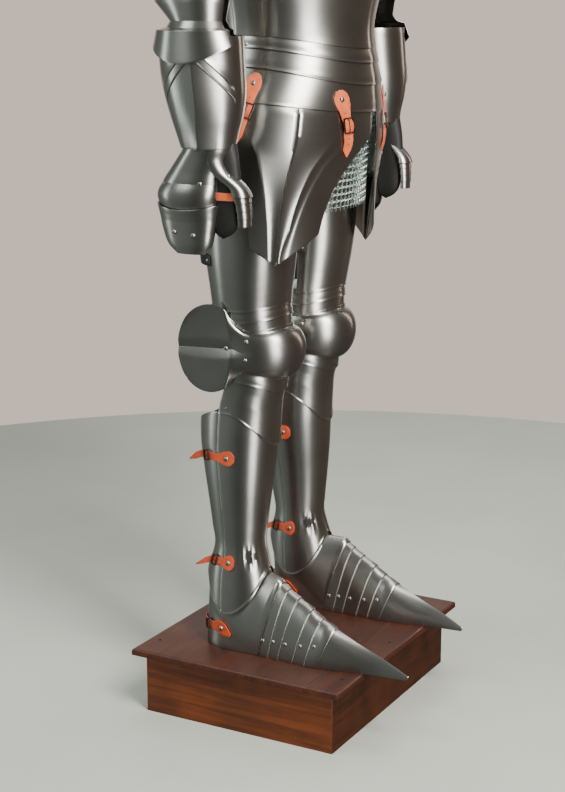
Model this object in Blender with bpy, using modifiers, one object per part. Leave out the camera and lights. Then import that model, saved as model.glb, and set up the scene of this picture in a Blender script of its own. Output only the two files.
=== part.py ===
"""Suit of plate armour standing on a wooden plinth.

Metres, +Z up. The origin is the centre of the plinth's underside, the suit faces -Y
and the wearer's right side is -X. Every plate is an open surface bent from a grid and
given its thickness outward, so a section's half widths are those of a plate's inside.
Angles round the body and the limbs start at the front: on the body they grow towards
+X, on a limb towards its outer side.
"""

from collections import namedtuple
from math import cos, pi, radians, sin, sqrt

import bmesh
import bpy
from mathutils import Vector

WALL = 0.0015
LEATHER = 0.0022
MAIL = 0.0026
GAP = 0.0004
STEP = WALL + GAP
WELD = 0.00001
PROBE = 0.002
MOST_LEAN = 2.2

# Plinth
PLINTH_X = 0.462
PLINTH_Y = 0.376
PLINTH_HEIGHT = 0.122
BOARD = 0.0117
BOARD_OVERHANG = 0.019
BOX_WALL = 0.012
BOARD_EDGE = 0.004
FLOOR = PLINTH_HEIGHT + GAP

# Body
BODY_Y = 0.030
KEEL_ANGLE = radians(85)
FAULD_ANGLE = 98
TORSO_COLUMNS = 8
SEAM_GAP = 1
SEAM_LAP = 4
PLATE_LAP = 0.012

Section = namedtuple("Section", "key x y half_x front back keel")
Row = namedtuple("Row", "front side offset")
Foot = namedtuple("Foot", "reach x top_y top_z half_x")
Finish = namedtuple("Finish", "colour metallic roughness")
Hem = namedtuple("Hem", "column z angle")
Swing = namedtuple("Swing", "part share")
Swell = namedtuple("Swell", "z out rear")
Strap = namedtuple("Strap", "z half")

STEEL = Finish("#8F8F8D", 1.0, 0.32)
RINGS = Finish("#9BA3A0", 1.0, 0.4)
HIP_LEATHER = Finish("#E8764A", 0.0, 0.5)
LEG_LEATHER = Finish("#D0532A", 0.0, 0.5)
BLACK_LEATHER = Finish("#15130F", 0.0, 0.5)
BOARD_WOOD = Finish("#5A3527", 0.0, 0.4)
BOX_WOOD = Finish("#6A3613", 0.0, 0.4)

# Body by height: waist at 1.205, hips at 1.02, shoulders at 1.60
TORSO = [
    Section(0.880, 0, BODY_Y, 0.2080, 0.137, 0.128, 0.030),
    Section(1.020, 0, BODY_Y, 0.2020, 0.137, 0.126, 0.034),
    Section(1.069, 0, BODY_Y, 0.1900, 0.135, 0.122, 0.034),
    Section(1.113, 0, BODY_Y, 0.1690, 0.136, 0.114, 0.032),
    Section(1.149, 0, BODY_Y, 0.1500, 0.134, 0.107, 0.030),
    Section(1.205, 0, BODY_Y, 0.1380, 0.130, 0.102, 0.026),
    Section(1.280, 0, BODY_Y, 0.1560, 0.143, 0.108, 0.025),
    Section(1.360, 0, BODY_Y, 0.1760, 0.153, 0.117, 0.022),
    Section(1.450, 0, BODY_Y, 0.1880, 0.144, 0.123, 0.016),
    Section(1.530, 0, BODY_Y, 0.1780, 0.112, 0.119, 0.010),
    Section(1.575, 0, BODY_Y, 0.1480, 0.084, 0.104, 0.005),
    Section(1.600, 0, BODY_Y, 0.1180, 0.068, 0.090, 0.000),
]
FAULD_EDGES = [Row(1.173, 1.196, 0), Row(1.149, 1.176, 0), Row(1.113, 1.145, 0), Row(1.069, 1.090, 0)]
BACK_ROWS = {-3: Row(1.069, 1.090, 0), -2: Row(1.081, 1.102, 0), -1: Row(1.120, 1.146, 0)}
ARMHOLE = 1.420
ARMHOLE_START = radians(52)
ARMHOLE_TURN = radians(28)
NECK = 1.600
CUIRASS_SHARES = [0, 0.18, 0.38, 0.58, 0.75, 0.88, 1.0]

# The mail skirt below the fauld, where it hangs free of it over the thighs
MAIL_HEM = 0.903
MAIL_DRAPE = [
    Section(0.900, 0, 0.034, 0.1935, 0.122, 0.136, 0.004),
    Section(0.960, 0, 0.034, 0.1935, 0.123, 0.135, 0.010),
    Section(1.030, 0, 0.032, 0.1890, 0.125, 0.128, 0.020),
]

# Neck and head by height: the collar, the chin, the brow and the crown of the skull
NECK_SECTIONS = [
    Section(1.604, 0, BODY_Y, 0.1130, 0.066, 0.080, 0.000),
    Section(1.640, 0, BODY_Y, 0.0880, 0.070, 0.075, 0.006),
    Section(1.690, 0, 0.036, 0.0930, 0.100, 0.085, 0.012),
    Section(1.735, 0, 0.040, 0.1010, 0.119, 0.140, 0.012),
]
HEAD = [
    Section(1.680, 0, 0.040, 0.1160, 0.136, 0.215, 0.010),
    Section(1.735, 0, 0.040, 0.1070, 0.124, 0.158, 0.012),
    Section(1.790, 0, 0.040, 0.1050, 0.121, 0.132, 0.010),
    Section(1.835, 0, 0.040, 0.1020, 0.117, 0.124, 0.008),
    Section(1.875, 0, 0.040, 0.0930, 0.106, 0.113, 0.005),
    Section(1.910, 0, 0.040, 0.0770, 0.088, 0.094, 0.003),
    Section(1.935, 0, 0.040, 0.0560, 0.064, 0.069, 0.001),
    Section(1.950, 0, 0.040, 0.0320, 0.037, 0.040, 0.000),
    Section(1.956, 0, 0.040, 0.0000, 0.000, 0.000, 0.000),
]

# One leg by height: ankle, calf, knee and thigh
LEG = [
    Section(0.180, 0.1200, 0.058, 0.0500, 0.072, 0.058, 0.000),
    Section(0.225, 0.1165, 0.061, 0.0480, 0.068, 0.057, 0.002),
    Section(0.262, 0.1140, 0.062, 0.0450, 0.060, 0.055, 0.003),
    Section(0.306, 0.1115, 0.060, 0.0410, 0.045, 0.046, 0.003),
    Section(0.342, 0.1110, 0.061, 0.0430, 0.047, 0.050, 0.004),
    Section(0.389, 0.1095, 0.062, 0.0480, 0.052, 0.056, 0.005),
    Section(0.446, 0.1050, 0.064, 0.0550, 0.060, 0.065, 0.005),
    Section(0.500, 0.1005, 0.065, 0.0590, 0.065, 0.073, 0.005),
    Section(0.560, 0.0985, 0.061, 0.0590, 0.066, 0.075, 0.004),
    Section(0.610, 0.0975, 0.052, 0.0610, 0.070, 0.068, 0.002),
    Section(0.660, 0.0970, 0.045, 0.0630, 0.072, 0.066, 0.000),
    Section(0.705, 0.0985, 0.041, 0.0640, 0.070, 0.066, 0.000),
    Section(0.745, 0.1030, 0.040, 0.0650, 0.067, 0.067, 0.000),
    Section(0.780, 0.1065, 0.039, 0.0690, 0.073, 0.073, 0.000),
    Section(0.840, 0.1095, 0.038, 0.0735, 0.080, 0.080, 0.000),
    Section(0.950, 0.1120, 0.036, 0.0794, 0.084, 0.082, 0.000),
]
GREAVE_FOOT = Row(0.270, 0.188, 0.0)
GREAVE_TOP = Row(0.548, 0.576, 0.0)
KNEE_PLATE_EDGE = Row(0.492, 0.553, STEP)
LIMB_EDGE = 100
GREAVE_SEAM = 0.3
KNEE_LAP = 0.010
LAME_LOWER = Row(0.592, 0.612, 0.0)
POLEYN_FOOT = Row(0.612, 0.632, 0.0)
POLEYN_TOP = Row(0.712, 0.700, 0.0)
LAME_2_TOP = Row(0.727, 0.716, 0.0)
LAME_1_TOP = Row(0.746, 0.736, 0.0)
BULGE_FRONT = 0.026
BULGE_SIDE = 0.008
BULGE_Z = 0.660
BULGE_HALF = 0.044

# Fan wing of the knee: half its depth and height, and the depth of its crease
WING_COLUMN = 10
WING_Y = 0.079
WING_Z = 0.672
WING_HALF_Y = 0.058
WING_HALF_Z = 0.077
WING_OUT = 0.078
WING_FLARE = 0.010
WING_CREASE = 0.009

# Foot by its reach from the heel: where each arch stands and how high it rises
HEEL_Y = 0.115
FOOT = [
    Foot(0.050, 0.1260, -0.010, 0.283, 0.0360),
    Foot(0.122, 0.1310, -0.037, 0.258, 0.0355),
    Foot(0.141, 0.1320, -0.050, 0.248, 0.0350),
    Foot(0.161, 0.1330, -0.071, 0.231, 0.0345),
    Foot(0.191, 0.1345, -0.098, 0.212, 0.0340),
    Foot(0.215, 0.1355, -0.119, 0.198, 0.0335),
    Foot(0.240, 0.1365, -0.146, 0.184, 0.0320),
    Foot(0.280, 0.1375, -0.187, 0.167, 0.0250),
    Foot(0.335, 0.1385, -0.240, 0.147, 0.0110),
    Foot(0.400, 0.1400, -0.286, 0.127, 0.0016),
]
SABATON_EDGES = [0.122, 0.141, 0.161, 0.191, 0.215, 0.240]
LAP = 0.008
RISER = 0.0008
TOE_CLEAR = 0.004
TOE_TURN = {1: 0.026, -1: 0.0}
TOE_BACK = {1: 0.008, -1: 0.0}
HEEL_CENTRE = 0.053
HEEL_RADIUS = 0.060
HEEL_BOW = 0.009
HEEL_STRAP_Z = 0.160
HEEL_STRAP_START = 0.625
LEATHER_OFF = WALL + GAP + 0.0003
ANKLE_ANGLE = radians(160)
ANKLE_TUCK = 0.2
ANKLE_CLEAR = 0.0008
ANKLE_HEM = 0.9
GREAVE_STRAP_Z = 0.474
STRAP_START = radians(72)
STRAP_END = radians(152)
FREE_START = 0.68
FREE_OUT = 0.22
FREE_DROP = 0.035

# Half widths along a leg's straps: the round head at the rivet, the band and the point
CALF_STRAP = [
    Strap(0.00, 0.0050),
    Strap(0.05, 0.0110),
    Strap(0.10, 0.0135),
    Strap(0.19, 0.0125),
    Strap(0.27, 0.0085),
    Strap(0.35, 0.0066),
    Strap(0.60, 0.0066),
    Strap(0.78, 0.0066),
    Strap(0.90, 0.0060),
    Strap(1.00, 0.0012),
]
HEEL_STRAP = [
    Strap(0.00, 0.0050),
    Strap(0.25, 0.0125),
    Strap(0.50, 0.0080),
    Strap(1.50, 0.0066),
]

# Tasset by column from the front slit: where its hem hangs and which way it faces there
TASSET_TURN = radians(FAULD_ANGLE / TORSO_COLUMNS)
TASSET_CENTRE = (0.050, 0.050)
TASSET_RADIUS = 0.150
TASSET_RIDGE = 0.004
RIDGE_COLUMN = 4
SLIT_SHARE = 0.2
TASSET_FOOT = [
    Hem(0, 0.873, 20),
    Hem(4, 0.822, 52),
    Hem(7, 0.852, 68),
]
TASSET_SWING = [Swing(0, 0), Swing(0.2, 0.05), Swing(0.4, 0.38), Swing(0.6, 0.68), Swing(0.8, 0.87), Swing(1, 1)]
HIP_STRAP_REACH = 0.038
HIP_STRAP = [
    Strap(1.018, 0.0012),
    Strap(1.028, 0.0066),
    Strap(1.060, 0.0068),
    Strap(1.084, 0.0068),
    Strap(1.095, 0.0100),
    Strap(1.104, 0.0145),
    Strap(1.114, 0.0150),
    Strap(1.123, 0.0110),
    Strap(1.128, 0.0045),
]

# One arm by height: wrist, forearm, elbow and upper arm
ARM = [
    Section(1.200, 0.2930, 0.018, 0.0430, 0.0470, 0.0470, 0.000),
    Section(1.260, 0.2870, 0.022, 0.0450, 0.0490, 0.0490, 0.000),
    Section(1.320, 0.2790, 0.026, 0.0460, 0.0500, 0.0500, 0.000),
    Section(1.400, 0.2680, 0.030, 0.0510, 0.0560, 0.0560, 0.000),
    Section(1.460, 0.2580, 0.032, 0.0560, 0.0620, 0.0620, 0.000),
]
CUFF = [
    Section(1.027, 0.3030, 0.003, 0.0360, 0.0436, 0.0436, 0.002),
    Section(1.050, 0.3010, 0.006, 0.0413, 0.0498, 0.0498, 0.003),
    Section(1.075, 0.2995, 0.008, 0.0480, 0.0570, 0.0570, 0.004),
    Section(1.110, 0.2980, 0.012, 0.0550, 0.0640, 0.0640, 0.005),
    Section(1.145, 0.2970, 0.016, 0.0580, 0.0670, 0.0670, 0.004),
    Section(1.200, 0.2955, 0.020, 0.0590, 0.0680, 0.0680, 0.003),
    Section(1.215, 0.2950, 0.021, 0.0594, 0.0685, 0.0685, 0.003),
]
HAND = [
    Section(0.858, 0.3080, 0.032, 0.0140, 0.0260, 0.0260, 0.000),
    Section(0.872, 0.3080, 0.034, 0.0200, 0.0390, 0.0390, 0.000),
    Section(0.892, 0.3070, 0.036, 0.0235, 0.0460, 0.0460, 0.000),
    Section(0.920, 0.3060, 0.037, 0.0265, 0.0515, 0.0515, 0.000),
    Section(0.950, 0.3050, 0.036, 0.0285, 0.0520, 0.0520, 0.000),
    Section(0.980, 0.3040, 0.028, 0.0300, 0.0480, 0.0480, 0.000),
    Section(1.010, 0.3030, 0.012, 0.0310, 0.0430, 0.0430, 0.000),
    Section(1.027, 0.3030, 0.003, 0.0330, 0.0405, 0.0405, 0.002),
    Section(1.060, 0.3015, 0.005, 0.0340, 0.0415, 0.0415, 0.002),
]
THUMB_SEAT = 0.995
GLOVE_EASE = 0.0003
THUMB = [
    Section(0.886, 0.2980, -0.054, 0.0070, 0.0080, 0.0070, 0.000),
    Section(0.900, 0.2990, -0.056, 0.0105, 0.0120, 0.0110, 0.000),
    Section(0.930, 0.3000, -0.056, 0.0140, 0.0145, 0.0130, 0.000),
    Section(0.960, 0.3020, -0.050, 0.0165, 0.0175, 0.0160, 0.000),
    Section(0.990, 0.3030, -0.036, 0.0210, 0.0210, 0.0180, 0.000),
]


# How far the couter stands off the arm by height, all round and at the point behind
ELBOW_SWELL = [
    Swell(1.206, 0.0100, 0),
    Swell(1.222, 0.0000, 0),
    Swell(1.252, 0.0060, 0.024),
    Swell(1.280, 0.0040, 0.012),
    Swell(1.300, 0.0000, 0),
    Swell(1.330, 0.0000, 0),
]
ELBOW_SEAT = 1.207
SHOULDER_SEAT = 1.568
SHOULDER_OFF = 0.0026
SHOULDER_OUT = 0.030
SHOULDER_RISE = 0.045
BEVOR_LAP = 0.050
BEVOR_TURN = radians(50)
BEVOR_LIFT = 0.012
SALLET_SIDE = 1.742
HELMET_REST = 0.0014


def clear_scene():
    """Start from an empty file."""
    for item in list(bpy.data.objects):
        bpy.data.objects.remove(item, do_unlink=True)


def linear(value):
    """One sRGB channel as a linear value."""
    return value / 12.92 if value <= 0.04045 else ((value + 0.055) / 1.055) ** 2.4


def material(name, finish):
    """A Principled material in a finish's colour."""
    found = bpy.data.materials.get(name)
    if found:
        return found
    made = bpy.data.materials.new(name)
    made.use_nodes = True
    shader = made.node_tree.nodes["Principled BSDF"]
    digits = finish.colour.lstrip("#")
    channels = [linear(int(digits[i : i + 2], 16) / 255) for i in (0, 2, 4)]
    shader.inputs["Base Color"].default_value = (*channels, 1.0)
    shader.inputs["Metallic"].default_value = finish.metallic
    shader.inputs["Roughness"].default_value = finish.roughness
    return made


def collection():
    """The collection that holds the suit's pieces."""
    name = "Suit of plate armour"
    found = bpy.data.collections.get(name)
    if found is None:
        found = bpy.data.collections.new(name)
        bpy.context.scene.collection.children.link(found)
    return found


def add_object(name, bm, finish):
    """Turn a bmesh into a smooth-shaded object in the suit's collection."""
    mesh = bpy.data.meshes.new(name)
    bm.to_mesh(mesh)
    bm.free()
    mesh.shade_smooth()
    mesh.set_sharp_from_angle(angle=radians(35))
    mesh.materials.append(material(name, finish))
    made = bpy.data.objects.new(name, mesh)
    collection().objects.link(made)
    return made


def section_at(table, key):
    """The section of a table at a key, eased smoothly between its rows."""
    last = len(table) - 1
    below = 0
    while below < last - 1 and table[below + 1][0] < key:
        below += 1
    low = table[below]
    high = table[below + 1]
    span = high[0] - low[0]
    part = min(1.0, max(0.0, (key - low[0]) / span))
    before = table[max(0, below - 1)]
    after = table[min(last, below + 2)]
    values = [key]
    for k in range(1, len(low)):
        slope_low = (high[k] - before[k]) / (high[0] - before[0]) * span
        slope_high = (after[k] - low[k]) / (after[0] - low[0]) * span
        rise = high[k] - low[k]
        bend = (slope_low - rise) * (1 - part) - (slope_high - rise) * part
        values.append(low[k] + rise * part + bend * part * (1 - part))
    return type(low)(*values)


def reach_at(row, angle):
    """How far a section reaches in one direction."""
    depth = row.front if cos(angle) > 0 else row.back
    centre = row.x * sin(angle) - row.y * cos(angle)
    return centre + row.half_x * sin(angle) ** 2 + depth * cos(angle) ** 2


def lean(table, z, angle):
    """What a distance square to a leaning wall grows to, measured level."""
    low, high = (reach_at(section_at(table, z + step), angle) for step in (-PROBE, PROBE))
    slope = (high - low) / (2 * PROBE)
    return min(MOST_LEAN, sqrt(1 + slope * slope))


def straight_at(table, key):
    """The row of a table at a key, straight between its rows."""
    for low, high in zip(table, table[1:]):
        if key <= high[0]:
            break
    part = min(1.0, max(0.0, (key - low[0]) / (high[0] - low[0])))
    return type(low)(key, *(a + (b - a) * part for a, b in zip(low[1:], high[1:])))


def ring_point(table, z, angle, offset=0.0, swell=(0.0, 0.0)):
    """A point of a section: swell adds to its half width and to its front."""
    row = section_at(table, z)
    if offset:
        offset *= lean(table, z, angle)
    depth = row.front + swell[1] if cos(angle) > 0 else row.back
    keel = row.keel * max(0.0, 1 - abs(angle) / KEEL_ANGLE)
    x = row.x + (row.half_x + swell[0] + offset) * sin(angle)
    y = row.y - (depth + offset) * cos(angle) - keel
    return Vector((x, y, z))


def height(row, angle):
    """The height of a row at an angle, between its front and its side heights."""
    return row.front + (row.side - row.front) * sin(angle) ** 2


def level(z, offset=0.0):
    """A row at one height all round."""
    return Row(z, z, offset)


def steps(start, stop, count):
    """Evenly spaced values from start to stop, both included."""
    return [start + (stop - start) * i / count for i in range(count + 1)]


def degrees_between(start, stop, count):
    """Evenly spaced angles, given in degrees."""
    return [radians(value) for value in steps(start, stop, count)]


def plate(name, columns, rows, place, finish=STEEL, wall=WALL, side=1, closed=False):
    """Bend a grid into a plate: place(column, row) is where each of its points goes."""
    bm = bmesh.new()
    across = len(columns) - 1
    along = len(rows) - 1
    bmesh.ops.create_grid(bm, x_segments=across, y_segments=along, size=0.5)
    for vert in bm.verts:
        column = columns[round((vert.co.x + 0.5) * across)]
        row = rows[round((vert.co.y + 0.5) * along)]
        point = place(column, row)
        vert.co = Vector((point.x * side, point.y, point.z))
    if side < 0:
        bmesh.ops.reverse_faces(bm, faces=bm.faces)
    if closed:
        bmesh.ops.remove_doubles(bm, verts=bm.verts, dist=WELD)
    made = add_object(name, bm, finish)
    thickness = made.modifiers.new("Thickness", "SOLIDIFY")
    thickness.thickness = wall
    thickness.offset = 1.0
    thickness.use_even_offset = True
    return made


def turned(angle):
    """The same direction as an angle from -pi to pi."""
    return angle if angle <= pi else angle - 2 * pi


def ring_plate(name, table, angles, rows, side=1, swell=None, **options):
    """A plate that follows a table's sections, each row at its own offset."""

    def place(angle, row):
        z = height(row, angle)
        extra = swell(z, angle) if swell else (0.0, 0.0)
        return ring_point(table, z, turned(angle), row.offset, extra)

    return plate(name, angles, rows, place, side=side, **options)


def side_name(base, side):
    """A piece's name with the wearer's side."""
    return base + ("_left" if side > 0 else "_right")


def box(name, size, centre, finish, bevel):
    """A wooden board with softened edges."""
    bm = bmesh.new()
    bmesh.ops.create_cube(bm, size=1.0)
    for vert in bm.verts:
        vert.co = Vector(vert.co[i] * size[i] + centre[i] for i in range(3))
    made = add_object(name, bm, finish)
    soft = made.modifiers.new("Edge", "BEVEL")
    soft.width = bevel
    soft.segments = 2
    soft.limit_method = "ANGLE"
    return made


def make_plinth():
    """A moulded board on a box of four walls and a floor."""
    size = (PLINTH_X + 2 * BOARD_OVERHANG, PLINTH_Y + 2 * BOARD_OVERHANG, BOARD)
    box("plinth_board", size, (0, 0, PLINTH_HEIGHT - BOARD / 2), BOARD_WOOD, BOARD_EDGE)
    tall = PLINTH_HEIGHT - BOARD - GAP
    bm = bmesh.new()
    bmesh.ops.create_cube(bm, size=1.0)
    for vert in bm.verts:
        vert.co = Vector((vert.co.x * PLINTH_X, vert.co.y * PLINTH_Y, (vert.co.z + 0.5) * tall))
    top = max(bm.faces, key=lambda face: face.calc_center_median().z)
    bmesh.ops.inset_region(bm, faces=[top], thickness=BOX_WALL, depth=0.0)
    moved = bmesh.ops.extrude_discrete_faces(bm, faces=[top])["faces"]
    for vert in moved[0].verts:
        vert.co.z = BOX_WALL
    add_object("plinth_box", bm, BOX_WOOD)


def arch_point(reach, arch, side):
    """A point inside the foot's plates: arch runs from 0 at the outer sole to pi.

    The two feet don't mirror: TOE_TURN and TOE_BACK say how far a toe is swung aside
    and drawn back.
    """
    row = section_at(FOOT, reach)
    rise = sin(arch)
    sole_y = HEEL_Y - reach
    along = max(0.0, (reach - FOOT[0].reach) / (FOOT[-1].reach - FOOT[0].reach))
    x = row.x + row.half_x * cos(arch) - TOE_TURN[side] * along
    y = sole_y + (row.top_y - sole_y) * rise + TOE_BACK[side] * along
    return Vector((x, y, FLOOR + (row.top_z - FLOOR) * rise))


def foot_point(reach, arch, side, offset=0.0):
    """A point of the foot, moved square to its surface by an offset."""
    point = arch_point(reach, arch, side)
    if offset:
        along = arch_point(reach + PROBE, arch, side) - arch_point(reach - PROBE, arch, side)
        across = arch_point(reach, arch + PROBE, side) - arch_point(reach, arch - PROBE, side)
        point += across.cross(along).normalized() * offset
        point.z = max(FLOOR, point.z)
    return point


def sole_point(share):
    """Where the ankle plate stands: share runs from 0 at the lames to 1 behind."""
    start = HEEL_Y - SABATON_EDGES[0]
    half = section_at(FOOT, SABATON_EDGES[0]).half_x
    straight = 0.4
    if share < straight:
        part = share / straight
        return (half, start + (HEEL_CENTRE - start) * part, radians(90))
    angle = radians(90 + 60 * (share - straight) / (1 - straight))
    return (half * sin(angle), HEEL_CENTRE - HEEL_RADIUS * cos(angle), angle)


def ankle_point(column, drop, side, offset=0.0):
    """The ankle plate from inside the greave (drop 0) down to the foot (drop 1).

    column runs from -1 at the inner heel over the instep at 0 to 1 at the outer heel.
    """
    outward = 1 if column >= 0 else -1
    share = abs(column)
    angle = outward * ANKLE_ANGLE * share
    edge = height(GREAVE_FOOT, angle)
    high = ring_point(LEG, edge + LAP, angle, offset - STEP)
    under = ring_point(LEG, edge - LAP, angle, offset - STEP - ANKLE_CLEAR)
    if share <= 0.5:
        arch = pi / 2 - outward * share * pi
        low = foot_point(SABATON_EDGES[0], arch, side, offset + STEP + GAP)
        lap = foot_point(SABATON_EDGES[0] - 2 * LAP, arch, side, offset + STEP + GAP)
    else:
        half, y, turn = sole_point(share * 2 - 1)
        x = foot_point(SABATON_EDGES[0], pi / 2, side).x
        x += outward * (half + (offset + STEP) * sin(turn))
        low = Vector((x, y - (offset + STEP) * cos(turn), FLOOR))
        lap = low + Vector((0, 0, LAP))
    if drop <= ANKLE_TUCK:
        return high.lerp(under, drop / ANKLE_TUCK)
    if drop >= ANKLE_HEM:
        return lap.lerp(low, (drop - ANKLE_HEM) / (1 - ANKLE_HEM))
    return under.lerp(lap, (drop - ANKLE_TUCK) / (ANKLE_HEM - ANKLE_TUCK))


def make_sabaton(side):
    """Ankle plate, the stepped lames over the foot and the long pointed toe."""
    drops = [1.0, ANKLE_HEM, 0.72, 0.54, 0.36, ANKLE_TUCK, 0.0]
    name = side_name("sabaton_ankle", side)

    def ankle_place(column, drop):
        return ankle_point(column, drop, side)

    plate(name, steps(-1, 1, 16), drops, ankle_place, side=side)

    arches = degrees_between(180, 0, 8)
    edges = SABATON_EDGES
    rows = [Row(edges[0] - LAP, 0, 0.0), Row(edges[0], 0, 0.0)]
    for front in edges[1:-1]:
        rows += [Row(front - RISER, 0, STEP), Row(front, 0, 0.0)]
    rows += [Row(edges[-1] - LAP - TOE_CLEAR, 0, STEP), Row(edges[-1], 0, STEP)]

    def lame_place(arch, row):
        return foot_point(row.front, arch, side, row.offset)

    name = side_name("sabaton_lames", side)
    plate(name, arches, list(reversed(rows)), lame_place, side=side)
    reaches = [0.400, 0.372, 0.340, 0.308, 0.280, edges[-1], edges[-1] - LAP]

    def toe_place(arch, reach):
        return foot_point(reach, arch, side)

    plate(side_name("sabaton_toe", side), arches, reaches, toe_place, side=side)

    def strap_side(column, z):
        under = ankle_point(column, ANKLE_TUCK, side, LEATHER_OFF + GAP)
        lap = ankle_point(column, ANKLE_HEM, side, LEATHER_OFF + GAP)
        return under.lerp(lap, (under.z - z) / (under.z - lap.z))

    def strap_place(turn, across):
        z = HEEL_STRAP_Z + across * straight_at(HEEL_STRAP, min(turn, 3 - turn)).half
        if turn <= 1:
            return strap_side(HEEL_STRAP_START + (1 - HEEL_STRAP_START) * turn, z)
        if turn >= 2:
            return strap_side(-1 + (1 - HEEL_STRAP_START) * (turn - 2), z)
        part = turn - 1
        bow = Vector((0, HEEL_BOW * 4 * part * (1 - part), 0))
        return strap_side(1, z).lerp(strap_side(-1, z), part) + bow

    turns = steps(0, 1, 3) + steps(1.25, 1.75, 2) + steps(2, 3, 3)
    name = side_name("sabaton_strap", side)
    plate(name, turns, [-1, 0, 1], strap_place, LEG_LEATHER, LEATHER, side)


def make_greave(side):
    """Front and back plates that close round the shin, with the strap round the calf."""
    edge = LIMB_EDGE - GREAVE_SEAM
    front = [radians(-edge)] + degrees_between(-80, 80, 8) + [radians(edge)]
    edge = LIMB_EDGE + GREAVE_SEAM
    back = [radians(edge)] + degrees_between(120, 240, 6) + [radians(360 - edge)]
    lower = [GREAVE_FOOT, Row(0.278, 0.196, 0.0), Row(0.290, 0.236, 0.0), Row(0.306, 0.280, 0.0)]
    lower += [level(0.342), level(0.400), level(0.470)]
    rows = lower + [KNEE_PLATE_EDGE._replace(offset=0.0), GREAVE_TOP]
    ring_plate(side_name("greave_front", side), LEG, front, rows, side)
    rows = lower + [Row(0.500, 0.530, 0.0), Row(0.528, 0.557, 0.0)]
    ring_plate(side_name("greave_back", side), LEG, back, rows, side)

    def strap_place(share, across):
        angle = STRAP_START + (STRAP_END - STRAP_START) * share
        free = max(0.0, share - FREE_START)
        z = GREAVE_STRAP_Z + across * straight_at(CALF_STRAP, share).half - FREE_DROP * free
        return ring_point(LEG, z, angle, LEATHER_OFF + FREE_OUT * free * free)

    shares = [row.z for row in CALF_STRAP]
    name = side_name("greave_strap", side)
    plate(name, shares, [-1, 0, 1], strap_place, LEG_LEATHER, LEATHER, side)


def knee_swell(z):
    """How far the kneecap stands out from the limb for a row's height at the front."""
    part = (z - BULGE_Z) / BULGE_HALF
    if abs(part) >= 1:
        return (0.0, 0.0)
    round_off = sqrt(1 - part * part)
    return (BULGE_SIDE * round_off, BULGE_FRONT * round_off)


def wing_point(turn, lift):
    """The knee's fan wing: a disc standing behind the knee, creased along its middle."""
    y = WING_Y + WING_HALF_Y * turn * sqrt(1 - lift * lift / 2)
    z = WING_Z + WING_HALF_Z * lift * sqrt(1 - turn * turn / 2)
    crease = WING_CREASE * max(0.0, 1 - abs(lift) / 0.6) * (0.6 + 0.4 * turn)
    row = section_at(LEG, BULGE_Z)
    x = row.x + WING_OUT + WING_FLARE * (turn + 0.5) - crease
    return Vector((x, y, z))


def make_knee(side):
    """The poleyn with its wing, two lames above it, one below and the shin plate."""
    angles = degrees_between(-LIMB_EDGE, LIMB_EDGE, 10)

    def limb_plate(name, rows):
        ring_plate(side_name(name, side), LEG, angles, rows, side)

    top, second, first = POLEYN_TOP, LAME_2_TOP, LAME_1_TOP
    limb_plate("knee_lame_upper_2", [*tucked(top, -KNEE_LAP, 0.0), *tucked(second, 0.0, 0.0)])
    limb_plate("knee_lame_upper_1", [*tucked(second, 0.0, STEP), *tucked(first, 0.0, 0.0)])
    limb_plate("knee_lame_lower", [*tucked(LAME_LOWER, 0.0, STEP), *tucked(POLEYN_FOOT, 0.0, 0.0)])
    rows = [KNEE_PLATE_EDGE, GREAVE_TOP._replace(offset=STEP), Row(0.574, 0.598, 0.0)]
    limb_plate("knee_plate", rows + tucked(LAME_LOWER, 0.0, 0.0))

    cop = degrees_between(-LIMB_EDGE, 80, 9)
    wing = [WING_COLUMN + turn for turn in (-0.8, -0.4, 0.1, 0.55, 0.85, 1.0)]
    rows = [*tucked(POLEYN_FOOT, 0.0, STEP), Row(0.636, 0.650, STEP), Row(0.653, 0.661, STEP)]
    rows += [Row(0.669, 0.672, STEP), Row(0.686, 0.682, STEP), *tucked(top, -KNEE_LAP, STEP)]

    def place(column, row):
        if column < WING_COLUMN - 1:
            return ring_point(LEG, height(row, column), column, STEP, knee_swell(row.front))
        middle = (rows[0].front + rows[-1].front) / 2
        lift = (row.front - middle) / (rows[-1].front - middle)
        return wing_point(column - WING_COLUMN, lift)

    plate(side_name("poleyn", side), cop + wing, rows, place, side=side)


def tucked(row, drop, offset):
    """The two rows that bound a lap at the knee, from a row moved by drop."""
    low = Row(row.front + drop, row.side + drop, offset)
    return [low, Row(low.front + KNEE_LAP, low.side + KNEE_LAP, offset)]


def make_cuisse(side):
    """The thigh plate, open at the back of the leg."""
    angles = degrees_between(-80, 140, 11)
    rows = [*tucked(LAME_1_TOP, 0.0, STEP), level(0.775), level(0.81), level(0.85)]
    rows += [level(0.90), level(0.945)]
    ring_plate(side_name("cuisse", side), LEG, angles, rows, side)


def torso_front():
    """The columns that every plate on the body's front shares, so that they nest."""
    return degrees_between(-FAULD_ANGLE, FAULD_ANGLE, 2 * TORSO_COLUMNS)


def make_fauld():
    """Three hoops over the belly and the hips, each lapping the one below."""
    for number in range(3):
        upper = FAULD_EDGES[number]
        lower = FAULD_EDGES[number + 1]
        rows = [lower._replace(offset=STEP), raised(lower, STEP), upper, raised(upper, 0.0)]
        ring_plate(f"fauld_lame_{number + 1}", TORSO, torso_front(), rows)


def raised(row, offset):
    """The row one lap above another."""
    return Row(row.front + PLATE_LAP, row.side + PLATE_LAP, offset)


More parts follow.
